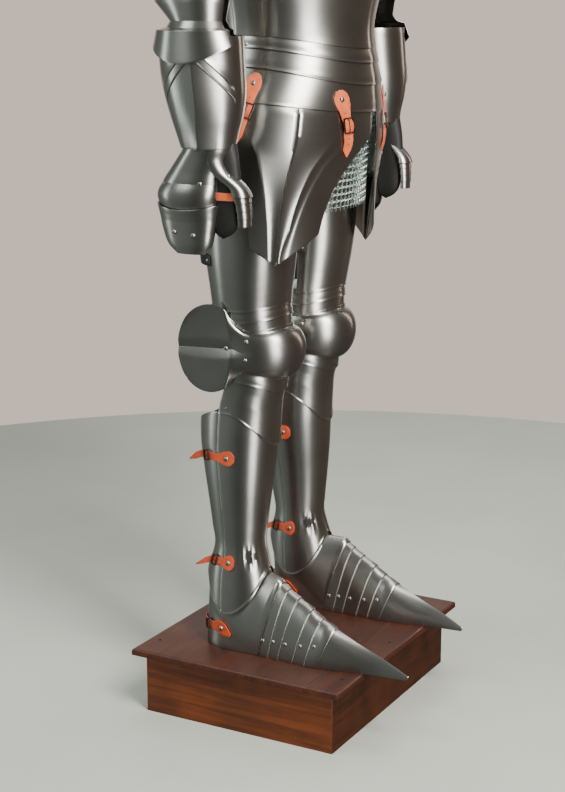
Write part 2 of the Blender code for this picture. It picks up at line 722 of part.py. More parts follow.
def tasset_point(column, part, offset=0.0):
    """A point of the left tasset: column counts from the front slit, part from its top."""
    top_angle = column * TASSET_TURN
    top_z = height(FAULD_EDGES[3], top_angle)
    foot = straight_at(TASSET_FOOT, column)
    if part < 0:
        return ring_point(TORSO, top_z - part, top_angle, offset)
    z = top_z + (foot.z - top_z) * part
    swing = section_at(TASSET_SWING, part).share
    ridge = TASSET_RIDGE * max(0.0, 1 - abs(column - RIDGE_COLUMN)) * min(1.0, part * 5)
    high = ring_point(TORSO, z, top_angle, offset + ridge)
    centre = TASSET_CENTRE
    reach = TASSET_RADIUS + offset + ridge
    angle = radians(foot.angle)
    low = Vector((centre[0] + reach * sin(angle), centre[1] - reach * cos(angle), z))
    return high.lerp(low, swing)


def make_tasset(side):
    """The ridged plate over a thigh and the two straps that it hangs by."""

    def place(column, part):
        if column == 0:
            return tasset_point(0, part).lerp(tasset_point(1, part), SLIT_SHARE)
        return tasset_point(column, part)

    parts = [1.0, 0.86, 0.7, 0.54, 0.38, 0.22, 0.1, 0.0, -PLATE_LAP]
    plate(side_name("tasset", side), list(range(8)), parts, place, side=side)

    def strap(name, head, tip, drop):
        def strap_place(across, row):
            share = (HIP_STRAP[-1].z - row.z) / (HIP_STRAP[-1].z - HIP_STRAP[0].z)
            turn = head + (tip - head) * share + across * row.half / HIP_STRAP_REACH
            angle = turn * TASSET_TURN
            edge = height(FAULD_EDGES[3], angle)
            z = row.z - drop
            if z >= edge:
                return ring_point(TORSO, z, angle, 2 * STEP)
            foot = straight_at(TASSET_FOOT, turn)
            return tasset_point(turn, (edge - z) / (edge - foot.z), 2 * STEP)

        name = side_name(name, side)
        plate(name, steps(-1, 1, 2), HIP_STRAP, strap_place, HIP_LEATHER, LEATHER, side)

    strap("tasset_strap_front", 2.1, 1.75, 0.020)
    strap("tasset_strap_outer", 6.1, 6.6, 0.0)


def cuirass_height(angle, step, away):
    """The height of one of a body plate's rows, away from its middle by an angle."""
    bottom = height(FAULD_EDGES[0], angle)
    shoulder = max(0.0, min(1.0, (away - ARMHOLE_START) / ARMHOLE_TURN))
    top = NECK - (NECK - ARMHOLE) * sin(shoulder * pi / 2)
    if step == 0:
        return bottom
    return bottom + PLATE_LAP + (top - bottom - PLATE_LAP) * CUIRASS_SHARES[step - 1]


def make_cuirass():
    """Breastplate over backplate, lapping at the sides."""
    edge = radians(FAULD_ANGLE + SEAM_GAP)
    seam = radians(FAULD_ANGLE + SEAM_LAP)
    angles = [-seam, -edge] + torso_front() + [edge, seam]

    def front_place(angle, step):
        z = cuirass_height(angle, step, abs(angle))
        return ring_point(TORSO, z, angle, STEP)

    plate("breastplate", angles, list(range(8)), front_place)

    angles = [edge] + torso_back() + [2 * pi - edge]

    def back_place(angle, step):
        if step >= 0:
            z = cuirass_height(angle, step, abs(angle - pi))
        else:
            z = height(BACK_ROWS[step], angle)
        return ring_point(TORSO, z, turned(angle))

    plate("backplate", angles, list(range(-3, 8)), back_place)


def torso_back():
    """The columns between the side seams, round the back."""
    seam = FAULD_ANGLE + SEAM_LAP
    return degrees_between(seam, 360 - seam, 12)


def make_head():
    """The bevor over the collar and chin, and the sallet above it."""
    rows = [0.0, 1.0, 1.628, 1.658, 1.69, 1.735, 1.755, 1.775]

    def bevor_place(angle, value):
        if value <= 1:
            drop = BEVOR_LAP * (1 - min(1.0, abs(angle) / BEVOR_TURN) ** 2)
            z = NECK - drop * (1 - value)
            lift = BEVOR_LIFT * max(0.0, abs(angle) / BEVOR_TURN - 1)
            return ring_point(TORSO, z, angle, 2 * STEP) + Vector((0, 0, lift + value * GAP))
        if value < 1.7:
            return ring_point(NECK_SECTIONS, value, angle)
        return ring_point(HEAD, value, angle, -STEP - HELMET_REST)

    plate("bevor", torso_front(), rows, bevor_place)

    angles = degrees_between(0, 360, 20)
    parts = [0.0, 0.08, 0.22, 0.4, 0.58, 0.74, 0.86, 0.94, 0.98, 1.0]

    def sallet_place(angle, part):
        facing = cos(angle)
        bottom = SALLET_SIDE + 0.058 * max(0.0, facing) ** 1.5 - 0.040 * max(0.0, -facing)
        top = HEAD[-1].key
        return ring_point(HEAD, bottom + (top - bottom) * part, turned(angle))

    plate("sallet", angles, parts, sallet_place, closed=True)


def make_mail():
    """The skirt of rings that hangs inside the fauld, as one even wall."""
    seam = radians(FAULD_ANGLE)
    angles = torso_front() + torso_back() + [2 * pi - seam]
    rows = [level(MAIL_HEM), level(0.96), level(1.02), level(1.05)]
    rows += [FAULD_EDGES[3], raised(FAULD_EDGES[3], 0.0)]

    def place(angle, row):
        z = height(row, angle)
        low = ring_point(MAIL_DRAPE, min(z, MAIL_DRAPE[-1].key), turned(angle))
        high = ring_point(TORSO, z, turned(angle), -(MAIL + 1.5 * GAP))
        share = max(0.0, min(1.0, (z - MAIL_DRAPE[-1].key) / (FAULD_EDGES[3].front - MAIL_DRAPE[-1].key)))
        return Vector((low.x, low.y, z)).lerp(high, share)

    plate("mail_skirt", angles, rows, place, RINGS, MAIL, closed=True)


def make_arm(side):
    """Pauldron, upper arm, elbow and forearm plates."""
    around = degrees_between(0, 360, 16)

    def tube(name, table, heights):
        rows = [level(z) for z in heights]
        ring_plate(side_name(name, side), table, around, rows, side, closed=True)

    tube("rerebrace", ARM, [1.300, 1.318, 1.375, 1.432, 1.450])
    tube("gauntlet_cuff", CUFF, [row.key for row in CUFF[:-1]])

    angles = degrees_between(22.5, 292.5, 12)

    def elbow_place(angle, row):
        z = height(row, angle)
        if row.front <= ELBOW_SEAT:
            return ring_point(CUFF, z, turned(angle), STEP)
        swell = straight_at(ELBOW_SWELL, z)
        point = ring_point(ARM, z, turned(angle), STEP + swell.out)
        point.y += swell.rear * max(0.0, -cos(angle)) ** 2
        return point

    rows = [Row(1.188, 1.158, 0), level(ELBOW_SEAT), level(1.222), level(1.237)]
    rows += [level(1.252), level(1.266), level(1.284), level(1.300), level(1.318)]
    plate(side_name("couter", side), angles, rows, elbow_place, side=side)

    columns = steps(-1, 1, 10)

    def shoulder_place(column, part):
        angle = pi / 2 + column * radians(112.5)
        if part <= 1:
            return ring_point(ARM, 1.432 + 0.018 * part, turned(angle), STEP)
        low = ring_point(ARM, 1.450, turned(angle), STEP)
        across = pi / 2 + column * radians(42)
        high = ring_point(TORSO, SHOULDER_SEAT, across, SHOULDER_OFF)
        share = part - 1
        bulge = 4 * share * (1 - share)
        out = Vector((sin(angle), -cos(angle), 0)) * SHOULDER_OUT * bulge
        return low.lerp(high, share) + out + Vector((0, 0, SHOULDER_RISE * bulge))

    parts = [0, 1, 1.12, 1.27, 1.43, 1.6, 1.78, 0.999 + 1]
    plate(side_name("pauldron", side), columns, parts, shoulder_place, side=side)


def make_hand(side):
    """The glove and the plates over the back of the hand, the fingers and the thumb."""
    around = degrees_between(0, 360, 12)
    heights = [0.872, 0.892, 0.915, 0.938, 0.964, 0.974, 0.989, 1.004, 1.018]
    rows = [level(z, -(LEATHER + GAP + GLOVE_EASE)) for z in heights]
    options = {"finish": BLACK_LEATHER, "wall": LEATHER, "closed": True}
    ring_plate(side_name("glove", side), HAND, around, rows, side, **options)

    back = degrees_between(0, 180, 6)
    rows = [level(0.858), level(0.872), level(0.892), level(0.915)]
    rows += [level(0.928, STEP), level(0.938, STEP)]
    ring_plate(side_name("finger_plate", side), HAND, back, rows, side)
    rows = [level(0.928), level(0.938), level(0.952, 0.004), level(0.964), level(0.974)]
    ring_plate(side_name("knuckle_plate", side), HAND, back, rows, side)
    rows = [level(0.964, STEP), level(0.974, STEP), level(0.989), level(1.004), level(1.018)]
    rows += [level(1.027), level(1.036)]
    ring_plate(side_name("hand_plate", side), HAND, back, rows, side)

    columns = steps(0, 1, 4)
    heights = [0.886, 0.900, 0.925, 0.950, 0.970, 0.986, 1.004, 1.018]

    def thumb_place(column, z):
        if z >= THUMB_SEAT:
            return ring_point(HAND, z, pi / 3 * column, STEP)
        return ring_point(THUMB, z, radians(-80 + 170 * column))

    plate(side_name("thumb_plate", side), columns, heights, thumb_place, side=side)


def build():
    """Make every piece of the suit."""
    clear_scene()
    make_plinth()
    for side in (-1, 1):
        make_sabaton(side)
        make_greave(side)
        make_knee(side)
        make_cuisse(side)
        make_tasset(side)
        make_arm(side)
        make_hand(side)
    make_fauld()
    make_cuirass()
    make_head()
    make_mail()


build()
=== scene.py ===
"""Suit of plate armour on a wooden plinth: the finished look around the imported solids.

Metres, +Z up. The origin is the centre of the plinth's underside, the suit faces -Y
and the wearer's right side is -X. Every plate follows the same named sizes as its
solid, with closer columns and rows and with the flutes, beads and rivets that show.
Angles round the body and the limbs start at the front: on the body they grow towards
+X, on a limb towards its outer side.
"""

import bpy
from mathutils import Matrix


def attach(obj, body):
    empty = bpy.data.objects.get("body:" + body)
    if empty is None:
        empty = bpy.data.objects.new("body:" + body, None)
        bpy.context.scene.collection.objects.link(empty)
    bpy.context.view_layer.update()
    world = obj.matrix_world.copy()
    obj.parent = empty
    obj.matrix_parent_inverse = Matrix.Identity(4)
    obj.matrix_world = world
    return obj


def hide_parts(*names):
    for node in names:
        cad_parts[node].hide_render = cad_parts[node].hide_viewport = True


bl_info = {
    "name": "Suit of plate armour",
    "version": (1, 0, 0),
    "blender": (4, 5, 0),
    "location": "3D View > Sidebar > Armour",
    "description": "Builds the plates, straps, mail and plinth of a standing suit of armour",
    "category": "Add Mesh",
}

from collections import namedtuple
from math import ceil, cos, pi, radians, sin, sqrt

import bmesh
import bpy
from bpy.props import FloatProperty, FloatVectorProperty, IntProperty, PointerProperty
from mathutils import Matrix, Vector

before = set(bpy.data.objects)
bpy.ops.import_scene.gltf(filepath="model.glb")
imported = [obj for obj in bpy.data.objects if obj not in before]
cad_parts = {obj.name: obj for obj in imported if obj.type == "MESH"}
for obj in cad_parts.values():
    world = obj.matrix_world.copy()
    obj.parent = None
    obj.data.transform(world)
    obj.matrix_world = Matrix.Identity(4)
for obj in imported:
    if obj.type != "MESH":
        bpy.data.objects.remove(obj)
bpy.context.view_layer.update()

# Walls, the gap between pieces that touch, and how far one plate steps over another
WALL = 0.0015
LEATHER = 0.0022
MAIL = 0.0026
GAP = 0.0004
STEP = WALL + GAP

# How near points are welded, how far a slope is probed, and the most that it adds
WELD = 0.00001
PROBE = 0.002
MOST_LEAN = 2.2

# Plinth
PLINTH_X = 0.462
PLINTH_Y = 0.376
PLINTH_HEIGHT = 0.122
BOARD = 0.0117
BOARD_OVERHANG = 0.019
BOX_WALL = 0.012
PLANK_JOINT_Y = -0.145
PLANK_GAP = 0.0004
BOARD_ROUND = 0.0045
BOARD_SOFT = 0.0006
BOX_SOFT = 0.0012
SCREW_X = (-0.19, 0.0, 0.19)
SCREW_INSET = 0.022
SCREW_RADIUS = 0.0034
SCREW_RISE = 0.0004
FLOOR = PLINTH_HEIGHT + GAP

# Body
BODY_Y = 0.030
KEEL_ANGLE = radians(85)
FAULD_ANGLE = 98
TORSO_COLUMNS = 8
SEAM_GAP = 1
SEAM_LAP = 4
PLATE_LAP = 0.012

Section = namedtuple("Section", "key x y half_x front back keel")
Row = namedtuple("Row", "front side offset")
Foot = namedtuple("Foot", "reach x top_y top_z half_x")
Hem = namedtuple("Hem", "column z angle")
Swing = namedtuple("Swing", "part share")
Swell = namedtuple("Swell", "z out rear")
Mark = namedtuple("Mark", "part column")
Rivet = namedtuple("Rivet", "u v")
Strap = namedtuple("Strap", "z half")

# Body by height: waist at 1.205, hips at 1.02, shoulders at 1.60
TORSO = [
    Section(0.880, 0, BODY_Y, 0.2080, 0.137, 0.128, 0.030),
    Section(1.020, 0, BODY_Y, 0.2020, 0.137, 0.126, 0.034),
    Section(1.069, 0, BODY_Y, 0.1900, 0.135, 0.122, 0.034),
    Section(1.113, 0, BODY_Y, 0.1690, 0.136, 0.114, 0.032),
    Section(1.149, 0, BODY_Y, 0.1500, 0.134, 0.107, 0.030),
    Section(1.205, 0, BODY_Y, 0.1380, 0.130, 0.102, 0.026),
    Section(1.280, 0, BODY_Y, 0.1560, 0.143, 0.108, 0.025),
    Section(1.360, 0, BODY_Y, 0.1760, 0.153, 0.117, 0.022),
    Section(1.450, 0, BODY_Y, 0.1880, 0.144, 0.123, 0.016),
    Section(1.530, 0, BODY_Y, 0.1780, 0.112, 0.119, 0.010),
    Section(1.575, 0, BODY_Y, 0.1480, 0.084, 0.104, 0.005),
    Section(1.600, 0, BODY_Y, 0.1180, 0.068, 0.090, 0.000),
]
FAULD_EDGES = [Row(1.173, 1.196, 0), Row(1.149, 1.176, 0), Row(1.113, 1.145, 0), Row(1.069, 1.090, 0)]
BACK_ROWS = {-3: Row(1.069, 1.090, 0), -2: Row(1.081, 1.102, 0), -1: Row(1.120, 1.146, 0)}
ARMHOLE = 1.420
ARMHOLE_START = radians(52)
ARMHOLE_TURN = radians(28)
NECK = 1.600
CUIRASS_SHARES = [0, 0.18, 0.38, 0.58, 0.75, 0.88, 1.0]

# The mail skirt below the fauld, where it hangs free of it over the thighs
MAIL_DRAPE = [
    Section(0.900, 0, 0.034, 0.1935, 0.122, 0.136, 0.004),
    Section(0.960, 0, 0.034, 0.1935, 0.123, 0.135, 0.010),
    Section(1.030, 0, 0.032, 0.1890, 0.125, 0.128, 0.020),
]

# Neck and head by height: the collar, the chin, the brow and the crown of the skull
NECK_SECTIONS = [
    Section(1.604, 0, BODY_Y, 0.1130, 0.066, 0.080, 0.000),
    Section(1.640, 0, BODY_Y, 0.0880, 0.070, 0.075, 0.006),
    Section(1.690, 0, 0.036, 0.0930, 0.100, 0.085, 0.012),
    Section(1.735, 0, 0.040, 0.1010, 0.119, 0.140, 0.012),
]
HEAD = [
    Section(1.680, 0, 0.040, 0.1160, 0.136, 0.215, 0.010),
    Section(1.735, 0, 0.040, 0.1070, 0.124, 0.158, 0.012),
    Section(1.790, 0, 0.040, 0.1050, 0.121, 0.132, 0.010),
    Section(1.835, 0, 0.040, 0.1020, 0.117, 0.124, 0.008),
    Section(1.875, 0, 0.040, 0.0930, 0.106, 0.113, 0.005),
    Section(1.910, 0, 0.040, 0.0770, 0.088, 0.094, 0.003),
    Section(1.935, 0, 0.040, 0.0560, 0.064, 0.069, 0.001),
    Section(1.950, 0, 0.040, 0.0320, 0.037, 0.040, 0.000),
    Section(1.956, 0, 0.040, 0.0000, 0.000, 0.000, 0.000),
]

# One leg by height: ankle, calf, knee and thigh
LEG = [
    Section(0.180, 0.1200, 0.058, 0.0500, 0.072, 0.058, 0.000),
    Section(0.225, 0.1165, 0.061, 0.0480, 0.068, 0.057, 0.002),
    Section(0.262, 0.1140, 0.062, 0.0450, 0.060, 0.055, 0.003),
    Section(0.306, 0.1115, 0.060, 0.0410, 0.045, 0.046, 0.003),
    Section(0.342, 0.1110, 0.061, 0.0430, 0.047, 0.050, 0.004),
    Section(0.389, 0.1095, 0.062, 0.0480, 0.052, 0.056, 0.005),
    Section(0.446, 0.1050, 0.064, 0.0550, 0.060, 0.065, 0.005),
    Section(0.500, 0.1005, 0.065, 0.0590, 0.065, 0.073, 0.005),
    Section(0.560, 0.0985, 0.061, 0.0590, 0.066, 0.075, 0.004),
    Section(0.610, 0.0975, 0.052, 0.0610, 0.070, 0.068, 0.002),
    Section(0.660, 0.0970, 0.045, 0.0630, 0.072, 0.066, 0.000),
    Section(0.705, 0.0985, 0.041, 0.0640, 0.070, 0.066, 0.000),
    Section(0.745, 0.1030, 0.040, 0.0650, 0.067, 0.067, 0.000),
    Section(0.780, 0.1065, 0.039, 0.0690, 0.073, 0.073, 0.000),
    Section(0.840, 0.1095, 0.038, 0.0735, 0.080, 0.080, 0.000),
    Section(0.950, 0.1120, 0.036, 0.0794, 0.084, 0.082, 0.000),
]
GREAVE_FOOT = Row(0.270, 0.188, 0.0)
GREAVE_TOP = Row(0.548, 0.576, 0.0)
GREAVE_HEM = (Row(0.278, 0.196, 0.0), Row(0.290, 0.236, 0.0), Row(0.306, 0.280, 0.0))
GREAVE_LEVELS = (0.342, 0.400, 0.470)
GREAVE_BACK_TOP = (Row(0.500, 0.530, 0.0), Row(0.528, 0.557, 0.0))
KNEE_PLATE_EDGE = Row(0.492, 0.553, STEP)
LIMB_EDGE = 100
GREAVE_SEAM = 0.3
KNEE_LAP = 0.010
CUISSE_LEVELS = (0.775, 0.81, 0.85, 0.90, 0.945)
LAME_LOWER = Row(0.592, 0.612, 0.0)
POLEYN_FOOT = Row(0.612, 0.632, 0.0)
POLEYN_TOP = Row(0.712, 0.700, 0.0)
LAME_2_TOP = Row(0.727, 0.716, 0.0)
LAME_1_TOP = Row(0.746, 0.736, 0.0)
BULGE_FRONT = 0.026
BULGE_SIDE = 0.008
BULGE_Z = 0.660
BULGE_HALF = 0.044

# Fan wing of the knee: half its depth and height, and the depth of its crease
WING_COLUMN = 10
WING_Y = 0.079
WING_Z = 0.672
WING_HALF_Y = 0.058
WING_HALF_Z = 0.077
WING_OUT = 0.078
WING_FLARE = 0.010
WING_CREASE = 0.0075
WING_CREASE_HALF = 0.24
WING_NECK = 64
WING_NECK_SPREAD = 34
WING_NECK_TURN = -0.6

# Foot by its reach from the heel: where each arch stands and how high it rises
HEEL_Y = 0.115
FOOT = [
    Foot(0.050, 0.1260, -0.010, 0.272, 0.0360),
    Foot(0.122, 0.1310, -0.037, 0.249, 0.0355),
    Foot(0.141, 0.1320, -0.050, 0.240, 0.0350),
    Foot(0.161, 0.1330, -0.071, 0.227, 0.0345),
    Foot(0.191, 0.1345, -0.098, 0.212, 0.0340),
    Foot(0.215, 0.1355, -0.119, 0.198, 0.0335),
    Foot(0.240, 0.1365, -0.146, 0.184, 0.0320),
    Foot(0.280, 0.1375, -0.187, 0.167, 0.0250),
    Foot(0.335, 0.1385, -0.240, 0.147, 0.0110),
    Foot(0.400, 0.1400, -0.286, 0.127, 0.0016),
]
SABATON_EDGES = [0.122, 0.141, 0.161, 0.191, 0.215, 0.240]
LAP = 0.008
RISER = 0.0008
TOE_CLEAR = 0.004
TOE_HOLLOW = 1.1
TOE_SHARE = 0.35
TOE_TURN = {1: 0.026, -1: 0.0}
TOE_BACK = {1: 0.008, -1: 0.0}
HEEL_CENTRE = 0.053
HEEL_RADIUS = 0.060
HEEL_BOW = 0.009
HEEL_STRAP_Z = 0.160
HEEL_STRAP_START = 0.625
LEATHER_OFF = WALL + GAP + 0.0003
HEEL_RIVETS = (0.22, 2.78)
HEEL_BUCKLE_TURN = 0.74
HEEL_BUCKLE = (0.018, 0.016)
SOLE_STRAIGHT = 0.4
SOLE_TURN = 60
ANKLE_ANGLE = radians(160)
ANKLE_TUCK = 0.2
ANKLE_CLEAR = 0.0008
ANKLE_HEM = 0.9
SOLE_BLEND = 0.25
GREAVE_STRAP_Z = 0.474
STRAP_START = radians(72)
STRAP_END = radians(152)
PLEAT_Z = 0.292
PLEAT_HALF = 0.026
PLEAT_HIGH = 0.0016
PLEAT_COUNT = 26
PLEAT_ANGLE = 0.8
PLEAT_SPREAD = 0.6
CALF_RIVET_SHARE = 0.15
CALF_BUCKLE_SHARE = 0.60
CALF_BUCKLE = (0.019, 0.016)
FREE_START = 0.68
FREE_OUT = 0.22
FREE_DROP = 0.16

# Half widths along a leg's straps: the round head at the rivet, the band and the point
CALF_STRAP = [
    Strap(0.00, 0.0050),
    Strap(0.05, 0.0110),
    Strap(0.10, 0.0135),
    Strap(0.19, 0.0125),
    Strap(0.27, 0.0085),
    Strap(0.35, 0.0066),
    Strap(0.60, 0.0066),
    Strap(0.78, 0.0066),
    Strap(0.90, 0.0060),
    Strap(1.00, 0.0012),
]
HEEL_STRAP = [
    Strap(0.00, 0.0060),
    Strap(0.03, 0.0100),
    Strap(0.07, 0.0126),
    Strap(0.13, 0.0138),
    Strap(0.25, 0.0128),
    Strap(0.42, 0.0086),
    Strap(0.60, 0.0070),
    Strap(1.50, 0.0066),
]

# Tasset by column from the front slit: where its hem hangs and which way it faces there
TASSET_TURN = radians(FAULD_ANGLE / TORSO_COLUMNS)
TASSET_CENTRE = (0.050, 0.050)
TASSET_RADIUS = 0.150
RIDGE_COLUMN = 4
TASSET_LAST_COLUMN = 7.0
TASSET_FLAT = 0.0004
TASSET_EDGE = 0.0006
SLIT_SHARE = 0.2
TASSET_FOOT = [
    Hem(0, 0.873, 20),
    Hem(4, 0.822, 52),
    Hem(7, 0.852, 68),
]
TASSET_SWING = [
    Swing(0, 0),
    Swing(0.2, 0.05),
    Swing(0.4, 0.38),
    Swing(0.6, 0.68),
    Swing(0.8, 0.87),
    Swing(1, 1),
]
HIP_STRAP_REACH = 0.038
HIP_RIVET_Z = 1.113
HIP_HOLES_Z = (1.0905, 1.048, 1.039)
HIP_BUCKLE = (0.0225, 0.0265)
FRONT_STRAP_DROP = 0.020
OUTER_STRAP_DROP = -0.008
FRONT_STRAP_PATH = [
    Mark(0.0, 2.19),
    Mark(0.136, 2.105),
    Mark(0.364, 1.83),
    Mark(0.52, 1.67),
    Mark(0.69, 1.60),
    Mark(0.89, 1.34),
    Mark(1.0, 1.06),
]
BUCKLE_Z = 1.070
BUCKLE_REACH = 0.010
BUCKLE_RISE = 0.0026
OUTER_STRAP_PATH = [Mark(0.0, 6.36), Mark(0.5, 6.40), Mark(0.75, 6.58), Mark(1.0, 6.80)]
HIP_STRAP = [
    Strap(1.018, 0.0012),
    Strap(1.029, 0.0086),
    Strap(1.060, 0.0088),
    Strap(1.084, 0.0088),
    Strap(1.095, 0.0108),
    Strap(1.104, 0.0145),
    Strap(1.114, 0.0150),
    Strap(1.123, 0.0110),
    Strap(1.128, 0.0045),
]

# One arm by height: wrist, forearm, elbow and upper arm
ARM = [
    Section(1.200, 0.2930, 0.018, 0.0430, 0.0470, 0.0470, 0.000),
    Section(1.260, 0.2870, 0.022, 0.0450, 0.0490, 0.0490, 0.000),
    Section(1.320, 0.2790, 0.026, 0.0460, 0.0500, 0.0500, 0.000),
    Section(1.400, 0.2680, 0.030, 0.0510, 0.0560, 0.0560, 0.000),
    Section(1.460, 0.2580, 0.032, 0.0560, 0.0620, 0.0620, 0.000),
]
CUFF = [
    Section(1.027, 0.3030, 0.003, 0.0360, 0.0436, 0.0436, 0.002),
    Section(1.050, 0.3010, 0.006, 0.0413, 0.0498, 0.0498, 0.003),
    Section(1.075, 0.2995, 0.008, 0.0480, 0.0570, 0.0570, 0.004),
    Section(1.110, 0.2980, 0.012, 0.0550, 0.0640, 0.0640, 0.005),
    Section(1.145, 0.2970, 0.016, 0.0580, 0.0670, 0.0670, 0.004),
    Section(1.200, 0.2955, 0.020, 0.0590, 0.0680, 0.0680, 0.003),
    Section(1.215, 0.2950, 0.021, 0.0594, 0.0685, 0.0685, 0.003),
]
HAND = [
    Section(0.858, 0.3080, 0.032, 0.0140, 0.0260, 0.0260, 0.000),
    Section(0.872, 0.3080, 0.034, 0.0200, 0.0390, 0.0390, 0.000),
    Section(0.892, 0.3070, 0.036, 0.0235, 0.0460, 0.0460, 0.000),
    Section(0.920, 0.3060, 0.037, 0.0265, 0.0515, 0.0515, 0.000),
    Section(0.950, 0.3050, 0.036, 0.0285, 0.0520, 0.0520, 0.000),
    Section(0.980, 0.3040, 0.028, 0.0300, 0.0480, 0.0480, 0.000),
    Section(1.010, 0.3030, 0.012, 0.0310, 0.0430, 0.0430, 0.000),
    Section(1.027, 0.3030, 0.003, 0.0330, 0.0405, 0.0405, 0.002),
    Section(1.060, 0.3015, 0.005, 0.0340, 0.0415, 0.0415, 0.002),
]
GLOVE_LEVELS = (0.872, 0.892, 0.915, 0.938, 0.964, 0.974, 0.989, 1.004, 1.018)
FINGER_LEVELS = (0.858, 0.872, 0.892, 0.915)
FINGER_LAP_LOW = 0.928
FINGER_LAP_TOP = 0.938
HAND_LAP = (0.964, 0.974)
HAND_LEVELS = (0.989, 1.004, 1.018, 1.027, 1.036)
THUMB_PLATE_LEVELS = (0.952, 0.970, 0.986, 1.004, 1.030)
THUMB_PLATE_LIP = 0.016
THUMB_START = -80
THUMB_SPREAD = 170
THUMB_TOP = 1.020
THUMB_LOW = 0.962
THUMB_FLARE = 0.004
GLOVE_EASE = 0.0003
THUMB = [
    Section(0.886, 0.2980, -0.054, 0.0070, 0.0080, 0.0070, 0.000),
    Section(0.900, 0.2990, -0.056, 0.0105, 0.0120, 0.0110, 0.000),
    Section(0.930, 0.3000, -0.056, 0.0140, 0.0145, 0.0130, 0.000),
    Section(0.960, 0.3020, -0.050, 0.0165, 0.0175, 0.0160, 0.000),
    Section(0.990, 0.3030, -0.036, 0.0210, 0.0210, 0.0180, 0.000),
]

# The black leather between the palm and the thumb, by height
WEB = [
    Section(0.886, 0.3000, -0.022, 0.0000, 0.0000, 0.0000, 0.000),
    Section(0.892, 0.3000, -0.023, 0.0045, 0.0130, 0.0120, 0.000),
    Section(0.908, 0.3000, -0.026, 0.0080, 0.0220, 0.0200, 0.000),
    Section(0.950, 0.3010, -0.026, 0.0100, 0.0270, 0.0270, 0.000),
    Section(1.000, 0.3020, -0.024, 0.0120, 0.0270, 0.0240, 0.000),
    Section(1.035, 0.3020, -0.018, 0.0140, 0.0270, 0.0240, 0.000),
]
WEB_LEVELS = (0.886, 0.89, 0.908, 0.95, 0.99, 1.035)
THUMB_STRAP_EDGES = (0.946, 0.9585)

# How far the couter stands off the arm by height, all round and at the point behind
ELBOW_SWELL = [
    Swell(1.206, 0.0100, 0),
    Swell(1.222, 0.0000, 0),
    Swell(1.252, 0.0060, 0.024),
    Swell(1.280, 0.0040, 0.012),
    Swell(1.300, 0.0000, 0),
    Swell(1.330, 0.0000, 0),
]
ELBOW_SEAT = 1.207
REREBRACE_LEVELS = (1.300, 1.318, 1.375, 1.432, 1.450)
COUTER_FOOT = Row(1.188, 1.158, 0)
COUTER_LEVELS = (ELBOW_SEAT, 1.222, 1.237, 1.252, 1.266, 1.284, 1.300, 1.318)
PAULDRON_LOW = 1.432
PAULDRON_LAP = 0.018
ARM_TOP = 1.450
PAULDRON_TURN = radians(112.5)
SHOULDER_TURN = radians(42)
SHOULDER_SEAT = 1.568
SHOULDER_OFF = 0.0026
SHOULDER_OUT = 0.030
SHOULDER_RISE = 0.045
BEVOR_LAP = 0.050
BEVOR_TURN = radians(50)
BEVOR_LIFT = 0.012
SALLET_SIDE = 1.742
SALLET_BROW_RISE = 0.058
SALLET_TAIL_DROP = 0.040
BEVOR_LEVELS = (1.628, 1.658, 1.69, 1.735, 1.755, 1.775)
BEVOR_CHIN = 1.7
HELMET_REST = 0.0014

# Fineness of the bent sheets, in metres and degrees
SPACING = 0.004
BODY_TURN = 3
RIM = 0.0004
LIP = 0.0014
LIP_DEEP = 0.003
TOUCH = 0.0005

# Where the tasset's creases run: column by part of its drop
OUTER_FLUTE = [
    Mark(0.0, 6.45),
    Mark(0.215, 6.24),
    Mark(0.32, 5.75),
    Mark(0.459, 5.52),
    Mark(0.603, 5.255),
    Mark(0.786, 4.99),
    Mark(0.968, 4.845),
    Mark(1.0, 4.83),
]
INNER_FLUTE = [
    Mark(0.0, 1.90),
    Mark(0.159, 2.06),
    Mark(0.303, 2.50),
    Mark(0.418, 2.77),
    Mark(0.629, 2.985),
    Mark(0.797, 3.18),
    Mark(0.932, 3.55),
    Mark(1.0, 3.62),
]
SLIT_FLUTE = [
    Mark(0.0, 1.20),
    Mark(0.27, 1.59),
    Mark(0.388, 2.06),
    Mark(0.619, 2.33),
    Mark(0.909, 2.87),
    Mark(1.0, 3.05),
]
FLUTE_START = 0.16
FLUTE_FULL = 0.34
FLUTE_HIGH = 0.0034
SLIT_FLUTE_HIGH = 0.0022
CREST_HALF = 0.07
CREST_HIGH = 0.0044
CREST_DIP = 0.0012
CREST_GROWS = 25
HOLLOW = 2.2

# Ridge and slanting ribs of the cuff: columns in degrees, heights at the ridge
CUFF_RIDGE = 76
CUFF_RIDGE_HALF = 34
CUFF_RIDGE_HIGH = 0.0058
CUFF_RIDGE_SWING = 7
RIBS = (1.168, 1.186)
RIB_DROP = 0.00114
RIB_REACH = 60
RIB_HALF = 0.0026
RIB_HIGH = 0.0014
RIB_FADE = 14
RIB_START = 4
CUFF_TOP = 1.2
CUFF_SEAT_CLEAR = 0.006
CUFF_SEAT_FADE = 0.016
CUFF_SWING_Z = 1.104
CUFF_SWING_DROP = 0.077
CUFF_FINE = 72
CUFF_FLARE = 0.0068

# The breastplate's keel, the knuckles and the thumb's scales
KEEL_HIGH = 0.0024
KEEL_HALF = radians(26)
KNUCKLE_LOW = 0.936
KNUCKLE_TOP = 0.976
KNUCKLE_HIGH = 0.0080
SCALE_LOW = 0.905
SCALE_PITCH = 0.0125
SCALE_TALL = 0.018
SCALE_OUT = 0.0016
SCALE_IN = -0.0004
SCALE_WALL = 0.0012
KNUCKLE_ARC = 0.009
KNUCKLE_LAP_Z = 0.935
KNUCKLE_FADE = 0.040
FINGER_FLARE = 0.0022

